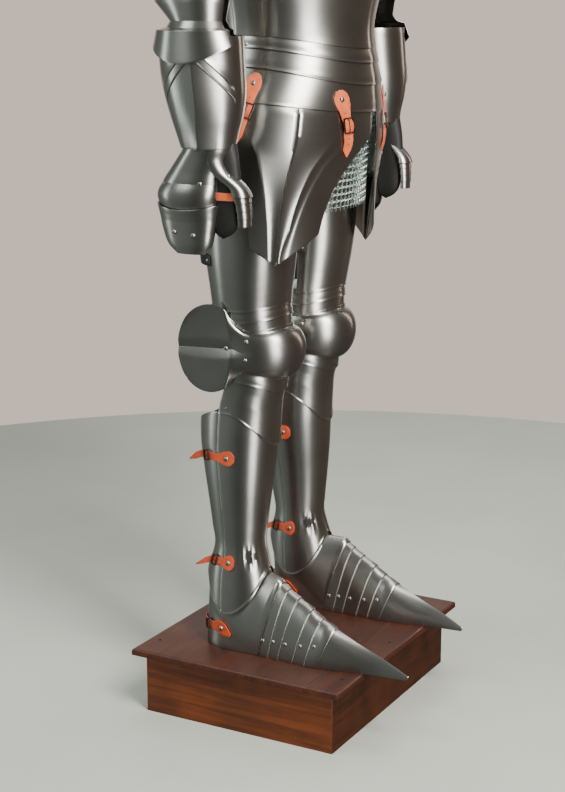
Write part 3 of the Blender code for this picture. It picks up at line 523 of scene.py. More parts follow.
# Rivets by place: angle and height on a limb, arch and reach on a foot
FOOT_RIVETS = [
    Rivet(12.7, 0.1080),
    Rivet(13.5, 0.1246),
    Rivet(15.6, 0.1458),
    Rivet(18.0, 0.1689),
    Rivet(23.0, 0.1980),
    Rivet(31.4, 0.2227),
]
KNEE_RIVETS = [Rivet(88.6, 0.5633), Rivet(-88.6, 0.5633)]
POLEYN_RIVETS = [Rivet(71.1, 0.689), Rivet(71.6, 0.647), Rivet(-71.1, 0.689), Rivet(-71.6, 0.647)]
CUISSE_RIVETS = [Rivet(127.0, 0.8216), Rivet(-74.0, 0.8216)]
THIGH_STRAP = (radians(122), radians(291))
THIGH_STRAP_Z = 0.8216
THIGH_STRAP_HALF = 0.009
THIGH_STRAP_SLACK = 0.010
HAND_RIVETS = [Rivet(138.5, 0.968), Rivet(55.5, 0.972), Rivet(107.1, 0.8938), Rivet(65.7, 0.8894)]
WRIST_RIVETS = [Rivet(87.3, 1.0276)]
THUMB_RIVET = Rivet(0.62, 0.985)
WING_RIVET = Rivet(-0.465, 0.026)
FAULD_RIVET_ANGLE = 88
RIVET_RADIUS = 0.0038
RIVET_HEIGHT = 0.0025
STRAP_RIVET_RADIUS = 0.0047

# The lower greave strap, the wire of every buckle, and the near-black discs of painted shade that stand
# for the hip straps' holes
LOWER_STRAP_Z = 0.281
LOWER_STRAP_START = radians(76)
LOWER_STRAP_END = radians(150)
BUCKLE_WIRE = 0.0021
HOLE_RADIUS = 0.0011
HOLE_RISE = 0.00015

# Rings of the mail: pitch along a row, between rows, and one ring's size
RING_PITCH = 0.0132
RING_ROW = 0.0057
RING_RADIUS = 0.0052
RING_WIRE = 0.00085
RING_TILT = radians(26)
RING_SINK = 0.0015
RING_LOW = 0.9065
RING_TOP = 1.094
RING_SIDES = 10
MAIL_QUARTERS = ("front_left", "back_left", "back_right", "front_right")
MAIL_MIDDLE_Z = 0.98
MAIL_TURNS = 360

# The camera that the photograph fits
CAMERA_PLACE = (-2.58356, -1.38901, 1.27740)
CAMERA_TURN = -61.12
CAMERA_TILT = 13.77
CAMERA_LENS = 76.386

# The round floor, and the point that the softboxes face
FLOOR_RADIUS = 2.1
STAGE_MIDDLE = (0, 0, 0.8)

# Softboxes: turn and tilt in degrees from the camera, sizes in metres, power in watts
Softbox = namedtuple("Softbox", "name turn tilt distance wide tall power tint")
SOFTBOXES = [
    Softbox("key", 28, 40, 3.0, 0.75, 1.8, 130, "#FFFDF8"),
    Softbox("window", 22, 0, 3.4, 0.9, 2.6, 84, "#FFFFFF"),
    Softbox("left", -62, 46, 3.0, 1.2, 1.0, 34, "#EEF6F4"),
    Softbox("side", -92, 6, 3.2, 0.5, 2.4, 16, "#E6F2EE"),
    Softbox("right", 118, 22, 3.4, 0.35, 2.4, 14, "#FFEBDD"),
    Softbox("top", 170, 66, 3.0, 2.0, 2.0, 40, "#FFFFFF"),
]


def clamp(value):
    """A value kept between 0 and 1."""
    return max(0.0, min(1.0, value))


def section_at(table, key):
    """The section of a table at a key, eased smoothly between its rows."""
    last = len(table) - 1
    below = 0
    while below < last - 1 and table[below + 1][0] < key:
        below += 1
    low = table[below]
    high = table[below + 1]
    span = high[0] - low[0]
    part = clamp((key - low[0]) / span)
    before = table[max(0, below - 1)]
    after = table[min(last, below + 2)]
    values = [key]
    for k in range(1, len(low)):
        slope_low = (high[k] - before[k]) / (high[0] - before[0]) * span
        slope_high = (after[k] - low[k]) / (after[0] - low[0]) * span
        rise = high[k] - low[k]
        bend = (slope_low - rise) * (1 - part) - (slope_high - rise) * part
        values.append(low[k] + rise * part + bend * part * (1 - part))
    return type(low)(*values)


def reach_at(row, angle):
    """How far a section reaches in one direction."""
    depth = row.front if cos(angle) > 0 else row.back
    centre = row.x * sin(angle) - row.y * cos(angle)
    return centre + row.half_x * sin(angle) ** 2 + depth * cos(angle) ** 2


def lean(table, z, angle):
    """What a distance square to a leaning wall grows to, measured level."""
    low, high = (reach_at(section_at(table, z + step), angle) for step in (-PROBE, PROBE))
    slope = (high - low) / (2 * PROBE)
    return min(MOST_LEAN, sqrt(1 + slope * slope))


def straight_at(table, key):
    """The row of a table at a key, straight between its rows."""
    for low, high in zip(table, table[1:]):
        if key <= high[0]:
            break
    part = clamp((key - low[0]) / (high[0] - low[0]))
    return type(low)(key, *(a + (b - a) * part for a, b in zip(low[1:], high[1:])))


def ring_point(table, z, angle, offset=0.0, swell=(0.0, 0.0)):
    """A point of a section: swell adds to its half width and to its front."""
    row = section_at(table, z)
    if offset:
        offset *= lean(table, z, angle)
    depth = row.front + swell[1] if cos(angle) > 0 else row.back
    keel = row.keel * max(0.0, 1 - abs(angle) / KEEL_ANGLE)
    x = row.x + (row.half_x + swell[0] + offset) * sin(angle)
    y = row.y - (depth + offset) * cos(angle) - keel
    return Vector((x, y, z))


def height(row, angle):
    """The height of a row at an angle, between its front and its side heights."""
    return row.front + (row.side - row.front) * sin(angle) ** 2


def level(z, offset=0.0):
    """A row at one height all round."""
    return Row(z, z, offset)


def steps(start, stop, count):
    """Evenly spaced values from start to stop, both included."""
    return [start + (stop - start) * i / count for i in range(count + 1)]


def degrees_between(start, stop, count):
    """Evenly spaced angles, given in degrees."""
    return [radians(value) for value in steps(start, stop, count)]


def turned(angle):
    """The same direction as an angle from -pi to pi."""
    return angle if angle <= pi else angle - 2 * pi


def side_name(base, side):
    """A piece's name with the wearer's side."""
    return base + ("_left" if side > 0 else "_right")


def srgb(code):
    """A colour written as sRGB hex, as linear red, green and blue."""
    values = [int(code[i : i + 2], 16) / 255 for i in (1, 3, 5)]
    return tuple(v / 12.92 if v <= 0.04045 else ((v + 0.055) / 1.055) ** 2.4 for v in values)


def tint_setting(name, description, code):
    """A colour that a user can change, from its sRGB hex default."""
    limits = {"size": 3, "min": 0.0, "max": 1.0, "subtype": "COLOR"}
    return FloatVectorProperty(name=name, description=description, default=srgb(code), **limits)


class SuitFinish(bpy.types.PropertyGroup):
    """Colours of the suit's metals, leathers and woods."""

    steel: tint_setting("Steel", "Colour of the brushed mild steel plates", "#A9A7A2")
    rings: tint_setting("Rings", "Colour of the zinc-plated mail rings", "#E3EEE8")
    hip_leather: tint_setting("Hip straps", "Colour of the straps that the tassets hang by", "#E06A3C")
    leg_leather: tint_setting("Leg straps", "Colour of the straps round the legs and heels", "#C44A22")
    glove: tint_setting("Gloves", "Colour of the gloves' leather", "#15130F")
    board: tint_setting("Plinth board", "Colour of the stained board on top of the plinth", "#4A2111")
    box: tint_setting("Plinth box front", "Colour of the stained box's front and back", "#48230C")
    box_side: tint_setting("Plinth box sides", "Colour of the stained box's two sides", "#6B3310")


class SuitSizes(bpy.types.PropertyGroup):
    """Sizes of the small parts that repeat over the suit."""

    rivet_radius: FloatProperty(
        name="Rivet radius",
        description="Radius of a plate rivet's domed head",
        default=RIVET_RADIUS,
        min=0.001,
        max=0.006,
        unit="LENGTH",
    )
    ring_radius: FloatProperty(
        name="Ring radius",
        description="Radius of a mail ring, measured to the middle of its wire",
        default=RING_RADIUS,
        min=0.002,
        max=0.006,
        unit="LENGTH",
    )
    ring_wire: FloatProperty(
        name="Ring wire",
        description="Half the thickness of a mail ring's wire",
        default=RING_WIRE,
        min=0.0003,
        max=0.0012,
        unit="LENGTH",
    )
    rim: FloatProperty(
        name="Edge softness",
        description="Width of the small bevel that catches light along a plate's edge",
        default=RIM,
        min=0.0001,
        max=0.0008,
        unit="LENGTH",
    )
    rivet_sides: IntProperty(
        name="Rivet sides",
        description="How many sides a rivet's round head has",
        default=12,
        min=6,
        max=32,
    )


def add_node(tree, kind, settings=None, links=None):
    """Add a node with its settings, fed by other nodes' outputs."""
    node = tree.nodes.new(kind)
    for name, value in (settings or {}).items():
        if isinstance(name, int) or name in node.inputs:
            node.inputs[name].default_value = value
        else:
            setattr(node, name, value)
    for name, output in (links or {}).items():
        tree.links.new(output, node.inputs[name])
    return node


def new_material(name):
    """A material with its Principled shader, and object coordinates to pattern it by."""
    made = bpy.data.materials.new(name)
    made.use_nodes = True
    tree = made.node_tree
    coords = add_node(tree, "ShaderNodeTexCoord")
    return made, tree, tree.nodes["Principled BSDF"], coords.outputs["Object"]


def mottled(tree, source, colour, shade, scale, detail=3.0):
    """A colour that drifts to a darker shade of itself in soft patches."""
    patches = add_node(tree, "ShaderNodeTexNoise", {"Scale": scale, "Detail": detail}, {"Vector": source})
    spread = {"From Min": 0.35, "From Max": 0.65}
    share = add_node(tree, "ShaderNodeMapRange", spread, {"Value": patches.outputs["Fac"]})
    darker = tuple(channel * shade for channel in colour)
    settings = {"data_type": "RGBA", 6: (*colour, 1.0), 7: (*darker, 1.0)}
    mixed = add_node(tree, "ShaderNodeMix", settings, {0: share.outputs["Result"]})
    return mixed.outputs[2], patches.outputs["Fac"]


def satin_steel(name, colour, rough=0.31):
    """Mild steel, hammered then brushed level: highlights drawn out up and down."""
    made, tree, shader, source = new_material(name)
    shader.inputs["Metallic"].default_value = 1.0
    shader.inputs["Anisotropic"].default_value = 0.7
    upright = add_node(tree, "ShaderNodeCombineXYZ", {"Z": 1.0})
    tree.links.new(upright.outputs["Vector"], shader.inputs["Tangent"])
    # Brush strokes about 0.3 mm wide are drawn 2 mm wide, as finer ones don't show
    streaked = add_node(tree, "ShaderNodeMapping", {"Scale": (14, 14, 480)}, {"Vector": source})
    streaks = {"Scale": 1.0, "Detail": 3.0}
    stroke = add_node(tree, "ShaderNodeTexNoise", streaks, {"Vector": streaked.outputs["Vector"]})
    shade = mottled(tree, source, colour, 0.84, 9.0)[0]
    tree.links.new(shade, shader.inputs["Base Color"])
    span = {"From Min": 0.3, "From Max": 0.7, "To Min": rough - 0.006, "To Max": rough + 0.006}
    gloss = add_node(tree, "ShaderNodeMapRange", span, {"Value": stroke.outputs["Fac"]})
    tree.links.new(gloss.outputs["Result"], shader.inputs["Roughness"])
    # The planishing hammer leaves shallow dents some 45 mm apart
    dents = add_node(tree, "ShaderNodeTexNoise", {"Scale": 22.0, "Detail": 1.0}, {"Vector": source})
    low = {"Strength": 0.12, "Distance": 0.0010}
    beaten = add_node(tree, "ShaderNodeBump", low, {"Height": dents.outputs["Fac"]})
    tree.links.new(beaten.outputs["Normal"], shader.inputs["Normal"])
    return made


def plated_wire(name, colour):
    """Zinc-plated ring wire: a pale, slightly green metal that is duller where rings rub."""
    made, tree, shader, source = new_material(name)
    shader.inputs["Metallic"].default_value = 1.0
    shade, patches = mottled(tree, source, colour, 0.7, 130.0)
    tree.links.new(shade, shader.inputs["Base Color"])
    span = {"To Min": 0.26, "To Max": 0.48}
    gloss = add_node(tree, "ShaderNodeMapRange", span, {"Value": patches})
    tree.links.new(gloss.outputs["Result"], shader.inputs["Roughness"])
    return made


def blackened_steel(name):
    """Blackened buckle steel: dark, with a dull sheen on its corners."""
    made, tree, shader, source = new_material(name)
    shader.inputs["Metallic"].default_value = 0.9
    shade, patches = mottled(tree, source, srgb("#5B4E48"), 0.45, 160.0)
    tree.links.new(shade, shader.inputs["Base Color"])
    span = {"To Min": 0.30, "To Max": 0.55}
    gloss = add_node(tree, "ShaderNodeMapRange", span, {"Value": patches})
    tree.links.new(gloss.outputs["Result"], shader.inputs["Roughness"])
    return made


def harness_leather(name, colour, rough=0.46):
    """Vegetable-tanned harness leather, dyed: a smooth face with a fine pebble and mottled dye."""
    made, tree, shader, source = new_material(name)
    shader.inputs["Coat Weight"].default_value = 0.12
    shader.inputs["Coat Roughness"].default_value = 0.35
    shade, patches = mottled(tree, source, colour, 0.72, 70.0, 4.0)
    tree.links.new(shade, shader.inputs["Base Color"])
    span = {"To Min": rough - 0.06, "To Max": rough + 0.1}
    gloss = add_node(tree, "ShaderNodeMapRange", span, {"Value": patches})
    tree.links.new(gloss.outputs["Result"], shader.inputs["Roughness"])
    # Pores lie about 0.5 mm apart and are drawn 1.2 mm apart, so that they show
    pores = add_node(tree, "ShaderNodeTexVoronoi", {"Scale": 830.0}, {"Vector": source})
    low = {"Strength": 0.25, "Distance": 0.0003}
    pebble = add_node(tree, "ShaderNodeBump", low, {"Height": pores.outputs["Distance"]})
    tree.links.new(pebble.outputs["Normal"], shader.inputs["Normal"])
    return made


def stained_wood(name, colour, grain_scale=(4, 90, 90), rough=0.42):
    """Softwood, stained and varnished thinly: long dark grain under a worn, uneven sheen."""
    made, tree, shader, source = new_material(name)
    shader.inputs["Coat Weight"].default_value = 0.12
    shader.inputs["Coat Roughness"].default_value = 0.3
    # Growth lines lie some 3 mm apart and run along the board
    along = add_node(tree, "ShaderNodeMapping", {"Scale": grain_scale}, {"Vector": source})
    warp = {"Scale": 1.0, "Detail": 5.0, "Roughness": 0.62, "Distortion": 0.7}
    grain = add_node(tree, "ShaderNodeTexNoise", warp, {"Vector": along.outputs["Vector"]})
    shade, patches = mottled(tree, source, colour, 0.70, 11.0)
    spread = {"From Min": 0.34, "From Max": 0.66, "To Min": 0.6, "To Max": 1.25}
    lines = add_node(tree, "ShaderNodeMapRange", spread, {"Value": grain.outputs["Fac"]})
    settings = {"data_type": "RGBA", "blend_type": "MULTIPLY", 0: 1.0}
    feed = {6: shade, 7: lines.outputs["Result"]}
    stained = add_node(tree, "ShaderNodeMix", settings, feed)
    tree.links.new(stained.outputs[2], shader.inputs["Base Color"])
    span = {"To Min": rough - 0.1, "To Max": rough + 0.16}
    gloss = add_node(tree, "ShaderNodeMapRange", span, {"Value": patches})
    tree.links.new(gloss.outputs["Result"], shader.inputs["Roughness"])
    low = {"Strength": 0.15, "Distance": 0.0004}
    relief = add_node(tree, "ShaderNodeBump", low, {"Height": grain.outputs["Fac"]})
    tree.links.new(relief.outputs["Normal"], shader.inputs["Normal"])
    return made


def matt_paint(name, colour, rough=0.9):
    """Matt surface with a very faint mottle, for the near-black painted shade in punched holes, which the
    plinth's screw heads share, and for the studio floor.
    """
    made, tree, shader, source = new_material(name)
    shade = mottled(tree, source, colour, 0.94, 3.0)[0]
    tree.links.new(shade, shader.inputs["Base Color"])
    shader.inputs["Roughness"].default_value = rough
    return made


FINISHES = {
    "steel": lambda tint: satin_steel("Satin brushed mild steel", tuple(tint.steel)),
    "rings": lambda tint: plated_wire("Zinc-plated ring wire", tuple(tint.rings)),
    "hip_leather": lambda tint: harness_leather("Orange harness leather", tuple(tint.hip_leather)),
    "leg_leather": lambda tint: harness_leather("Russet harness leather", tuple(tint.leg_leather)),
    "black_leather": lambda tint: harness_leather("Black glove leather", tuple(tint.glove), 0.6),
    "board_wood": lambda tint: stained_wood("Stained pine board", tuple(tint.board)),
    "box_wood": lambda tint: stained_wood("Stained pine box front", tuple(tint.box)),
    "box_side_wood": lambda tint: stained_wood("Stained pine box side", tuple(tint.box_side), (90, 4, 90)),
    "buckle": lambda tint: blackened_steel("Blackened buckle steel"),
    # Near-black: painted shade inside the straps' punched holes; the plinth's screw heads take the same
    # colour
    "hole": lambda tint: matt_paint("Painted shade in punched holes", srgb("#0C0A09")),
}
FINISH_NAMES = {}


def finish_of(name):
    """The material of a finish, made the first time that it is asked for."""
    if name not in FINISH_NAMES:
        FINISH_NAMES[name] = FINISHES[name](bpy.context.scene.suit_finish).name
    return bpy.data.materials[FINISH_NAMES[name]]


def between(low, high, part):
    """The value, or the row of values, part of the way from low to high."""
    if isinstance(low, tuple):
        return type(low)(*(between(a, b, part) for a, b in zip(low, high)))
    return low + (high - low) * part


def finer(rows, spacing=SPACING):
    """A table's rows with even ones between them, no further apart than the spacing."""
    made = [rows[0]]
    for low, high in zip(rows, rows[1:]):
        if isinstance(low, tuple):
            rise = max(abs(high[0] - low[0]), abs(high[1] - low[1]))
        else:
            rise = abs(high - low)
        count = max(1, ceil(rise / spacing - 0.01))
        made += [between(low, high, part) for part in steps(0, 1, count)[1:]]
    return made


def add_piece(name, bm, finish, nodes=()):
    """Turn a bmesh into a piece that rides on the suit."""
    mesh = bpy.data.meshes.new(name)
    bm.to_mesh(mesh)
    bm.free()
    mesh.shade_smooth()
    mesh.set_sharp_from_angle(angle=radians(32))
    mesh.materials.append(finish_of(finish))
    made = bpy.data.objects.new(name, mesh)
    frame_collection().objects.link(made)
    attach(made, "root")
    if nodes:
        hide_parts(*nodes)
    return made


def frame_collection():
    """The collection that holds the made pieces."""
    name = "Suit of plate armour"
    found = bpy.data.collections.get(name)
    if found is None:
        found = bpy.data.collections.new(name)
        bpy.context.scene.collection.children.link(found)
    return found


def soften(made, width, limit):
    """Round the edges of a piece that turn by more than a limit, in degrees."""
    edge = made.modifiers.new("Edge", "BEVEL")
    edge.width = width
    edge.segments = 2
    edge.limit_method = "ANGLE"
    edge.angle_limit = radians(limit)


def plate(node, columns, rows, place, finish="steel", wall=WALL, side=1, closed=False, name=None):
    """Bend a grid into a sheet, give it its thickness and soften its rim."""
    bm = bmesh.new()
    across = len(columns) - 1
    along = len(rows) - 1
    bmesh.ops.create_grid(bm, x_segments=across, y_segments=along, size=0.5)
    for vert in bm.verts:
        column = columns[round((vert.co.x + 0.5) * across)]
        row = rows[round((vert.co.y + 0.5) * along)]
        point = place(column, row)
        vert.co = Vector((point.x * side, point.y, point.z))
    if side < 0:
        bmesh.ops.reverse_faces(bm, faces=bm.faces)
    if closed:
        bmesh.ops.remove_doubles(bm, verts=bm.verts, dist=WELD)
    made = add_piece(name or node + "_made", bm, finish, (node,) if node else ())
    thickness = made.modifiers.new("Thickness", "SOLIDIFY")
    thickness.thickness = wall
    thickness.offset = 1.0
    thickness.use_even_offset = True
    soften(made, bpy.context.scene.suit_sizes.rim, 60)
    return made


def lipped(edge, offset):
    """The rows of a free lower edge, turned out a little so that it catches light and shade."""
    above = Row(edge.front + LIP_DEEP, edge.side + LIP_DEEP, offset)
    return [Row(edge.front, edge.side, offset + LIP), above]


def ring_plate(node, table, angles, rows, side=1, swell=None, **options):
    """A plate that follows a table's sections, each row at its own offset."""

    def place(angle, row):
        z = height(row, angle)
        extra = swell(z, angle) if swell else (0.0, 0.0)
        return ring_point(table, z, turned(angle), row.offset, extra)

    return plate(node, angles, finer(rows), place, side=side, **options)


def tucked(row, drop, offset):
    """The two rows that bound a lap at the knee, from a row moved by drop."""
    low = Row(row.front + drop, row.side + drop, offset)
    return [low, Row(low.front + KNEE_LAP, low.side + KNEE_LAP, offset)]


def seat(surface, u, v, side):
    """A point of a surface, the way that it faces, and the way that v grows on it."""
    point = surface(u, v)
    across = surface(u + TOUCH, v) - surface(u - TOUCH, v)
    along = surface(u, v + TOUCH) - surface(u, v - TOUCH)
    facing = across.cross(along).normalized()
    mirror = Vector((side, 1, 1))
    return point * mirror, facing * mirror, (along * mirror).normalized()


def standing(point, facing, along):
    """The matrix of a small part that lies on a surface: Z faces out and Y runs along."""
    across = along.cross(facing).normalized()
    along = facing.cross(across).normalized()
    turn = Matrix((across, along, facing)).transposed().to_4x4()
    return Matrix.Translation(point) @ turn


def dome(bm, place, radius, rise):
    """A rivet's domed head: an arc spun round its middle."""
    sides = bpy.context.scene.suit_sizes.rivet_sides
    arc = [Vector((radius * cos(turn), 0, rise * sin(turn))) for turn in steps(0, pi / 2, 4)]
    arc.insert(0, Vector((radius, 0, -rise / 3)))
    verts = [bm.verts.new(point) for point in arc]
    edges = [bm.edges.new(pair) for pair in zip(verts, verts[1:])]
    turn = {"cent": (0, 0, 0), "axis": (0, 0, 1), "angle": 2 * pi, "steps": sides}
    before = set(bm.faces)
    bmesh.ops.spin(bm, geom=verts + edges, use_merge=True, use_duplicate=False, **turn)
    faces = [face for face in bm.faces if face not in before]
    made = list({vert for face in faces for vert in face.verts})
    bmesh.ops.remove_doubles(bm, verts=made, dist=WELD)
    faces = [face for face in bm.faces if face not in before]
    bmesh.ops.recalc_face_normals(bm, faces=faces)
    made = list({vert for face in faces for vert in face.verts})
    bmesh.ops.transform(bm, matrix=place, verts=made)


def rivets(name, seats, radius=None):
    """One piece that holds a plate's rivet heads."""
    bm = bmesh.new()
    radius = radius or bpy.context.scene.suit_sizes.rivet_radius
    for point, facing, along in seats:
        dome(bm, standing(point, facing, along), radius, radius * RIVET_HEIGHT / RIVET_RADIUS)
    return add_piece(name, bm, "steel")


def buckle(bm, place, width, length, wire):
    """A rounded frame with its tongue, made from one face: inset, opened, thickened, softened."""
    corners = bmesh.ops.create_grid(bm, x_segments=1, y_segments=1, size=0.5)["verts"]
    for vert in corners:
        vert.co = Vector((vert.co.x * width, vert.co.y * length, 0))
    others = set(bm.faces) - {corners[0].link_faces[0]}
    soft = {"segments": 3, "profile": 0.5, "affect": "VERTICES", "material": -1}
    bmesh.ops.bevel(bm, geom=corners, offset=wire * 1.2, **soft)
    face = next(item for item in bm.faces if item not in others)
    inset = {"use_boundary": True, "use_even_offset": True, "thickness": wire}
    ring = bmesh.ops.inset_region(bm, faces=[face], **inset)["faces"]
    bmesh.ops.delete(bm, geom=[face], context="FACES_ONLY")
    low = {vert for item in ring for vert in item.verts}
    grown = bmesh.ops.extrude_face_region(bm, geom=ring, use_keep_orig=True)["geom"]
    top = [item for item in grown if isinstance(item, bmesh.types.BMVert)]
    bmesh.ops.translate(bm, vec=(0, 0, wire * 1.2), verts=top)
    body = list(low | set(top))
    faces = list({item for vert in body for item in vert.link_faces})
    bmesh.ops.recalc_face_normals(bm, faces=faces)
    lie = Matrix.Translation((0, 0, wire * 1.3)) @ Matrix.Rotation(radians(88), 4, "X")
    cone = {"cap_ends": True, "segments": 8, "radius1": wire * 0.5, "radius2": wire * 0.35}
    pin = bmesh.ops.create_cone(bm, depth=length, matrix=lie, **cone)["verts"]
    bmesh.ops.transform(bm, matrix=place, verts=body + pin)


def make_plinth():
    """The moulded board in two planks, on its box."""
    half_x = PLINTH_X / 2 + BOARD_OVERHANG
    half_y = PLINTH_Y / 2 + BOARD_OVERHANG
    front = (-half_y, PLANK_JOINT_Y - PLANK_GAP / 2)
    rear = (PLANK_JOINT_Y + PLANK_GAP / 2, half_y)
    bm = bmesh.new()
    for low, high in (front, rear):
        verts = bmesh.ops.create_cube(bm, size=1.0)["verts"]
        for vert in verts:
            y = low if vert.co.y < 0 else high
            z = PLINTH_HEIGHT - BOARD / 2 + vert.co.z * BOARD
            vert.co = Vector((vert.co.x * 2 * half_x, y, z))
        edges = {edge for vert in verts for edge in vert.link_edges}
        outer = [edge for edge in edges if is_rim(edge, half_x, half_y)]
        soft = {"profile": 0.5, "affect": "EDGES", "material": -1}
        bmesh.ops.bevel(bm, geom=outer, offset=BOARD_ROUND, segments=4, **soft)
    board = add_piece("plinth_board_made", bm, "board_wood", ("plinth_board",))
    soften(board, BOARD_SOFT, 30)

    tall = PLINTH_HEIGHT - BOARD - GAP
    bm = bmesh.new()
    verts = bmesh.ops.create_cube(bm, size=1.0)["verts"]
    for vert in verts:
        vert.co = Vector((vert.co.x * PLINTH_X, vert.co.y * PLINTH_Y, (vert.co.z + 0.5) * tall))
    top = max(bm.faces, key=lambda face: face.calc_center_median().z)
    bmesh.ops.inset_region(bm, faces=[top], thickness=BOX_WALL, depth=0.0)
    moved = bmesh.ops.extrude_discrete_faces(bm, faces=[top])["faces"]
    for vert in moved[0].verts:
        vert.co.z = BOX_WALL
    for face in bm.faces:
        face.material_index = 1 if abs(face.normal.x) > 0.5 else 0
    box = add_piece("plinth_box_made", bm, "box_wood", ("plinth_box",))
    box.data.materials.append(finish_of("box_side_wood"))
    soften(box, BOX_SOFT, 30)

    bm = bmesh.new()
    for x in SCREW_X:
        for y in (-half_y + SCREW_INSET, half_y - SCREW_INSET):
            dome(bm, Matrix.Translation((x, y, PLINTH_HEIGHT)), SCREW_RADIUS, SCREW_RISE)
    # The screw heads are drawn in the near-black of the painted hole shade
    add_piece("plinth_screws", bm, "hole")


def is_rim(edge, half_x, half_y):
    """Whether an edge of the board lies on its upper or lower outer rim."""
    middle = (edge.verts[0].co + edge.verts[1].co) / 2
    level_edge = abs(edge.verts[0].co.z - edge.verts[1].co.z) < WELD
    outer = abs(abs(middle.x) - half_x) < WELD or abs(abs(middle.y) - half_y) < WELD
    return level_edge and outer and middle.z > PLINTH_HEIGHT - BOARD / 2


def keel_lift(arch):
    """How far the foot's middle ridge stands up at an arch."""
    return KEEL_HIGH * max(0.0, 1 - abs(arch - pi / 2) / KEEL_HALF) ** 1.6


def arch_point(reach, arch, side):
    """A point inside the foot's plates: arch runs from 0 at the outer sole to pi."""
    row = section_at(FOOT, reach)
    rise = sin(arch)
    sole_y = HEEL_Y - reach
    along = max(0.0, (reach - FOOT[0].reach) / (FOOT[-1].reach - FOOT[0].reach))
    x = row.x + row.half_x * cos(arch) - TOE_TURN[side] * along
    y = sole_y + (row.top_y - sole_y) * rise + TOE_BACK[side] * along
    return Vector((x, y, FLOOR + (row.top_z - FLOOR) * rise))


def foot_point(reach, arch, side, offset=0.0):
    """A point of the foot, moved square to its surface by an offset."""
    point = arch_point(reach, arch, side)
    if offset:
        along = arch_point(reach + PROBE, arch, side) - arch_point(reach - PROBE, arch, side)
        across = arch_point(reach, arch + PROBE, side) - arch_point(reach, arch - PROBE, side)
        point += across.cross(along).normalized() * offset
        point.z = max(FLOOR, point.z)
    return point


def sole_point(share):
    """Where the ankle plate stands: share runs from 0 at the lames to 1 behind."""
    start = HEEL_Y - SABATON_EDGES[0]
    half = section_at(FOOT, SABATON_EDGES[0]).half_x
    if share < SOLE_STRAIGHT:
        part = share / SOLE_STRAIGHT
        return (half, start + (HEEL_CENTRE - start) * part, radians(90))
    angle = radians(90 + SOLE_TURN * (share - SOLE_STRAIGHT) / (1 - SOLE_STRAIGHT))
    return (half * sin(angle), HEEL_CENTRE - HEEL_RADIUS * cos(angle), angle)


def ankle_point(column, drop, side, offset=0.0):
    """The ankle plate from inside the greave (drop 0) down to the foot (drop 1).

    column runs from -1 at the inner heel over the instep at 0 to 1 at the outer heel.
    """
    outward = 1 if column >= 0 else -1
    share = abs(column)
    angle = outward * ANKLE_ANGLE * share
    edge = height(GREAVE_FOOT, angle)
    high = ring_point(LEG, edge + LAP, angle, offset - STEP)
    under = ring_point(LEG, edge - LAP, angle, offset - STEP - ANKLE_CLEAR)
    if share <= 0.5:
        arch = pi / 2 - outward * share * pi
        lift = offset + STEP + GAP + keel_lift(arch)
        low = foot_point(SABATON_EDGES[0], arch, side, lift)
        lap = foot_point(SABATON_EDGES[0] - 2 * LAP, arch, side, lift)
        upright = clamp((share - SOLE_BLEND) / (0.5 - SOLE_BLEND))
        lap = lap.lerp(low + Vector((0, 0, LAP)), upright)
    else:
        half, y, turn = sole_point(share * 2 - 1)
        x = foot_point(SABATON_EDGES[0], pi / 2, side).x
        x += outward * (half + (offset + STEP) * sin(turn))
        low = Vector((x, y - (offset + STEP) * cos(turn), FLOOR))
        lap = low + Vector((0, 0, LAP))
    if drop <= ANKLE_TUCK:
        return high.lerp(under, drop / ANKLE_TUCK)
    if drop >= ANKLE_HEM:
        return lap.lerp(low, (drop - ANKLE_HEM) / (1 - ANKLE_HEM))
    return under.lerp(lap, (drop - ANKLE_TUCK) / (ANKLE_HEM - ANKLE_TUCK))


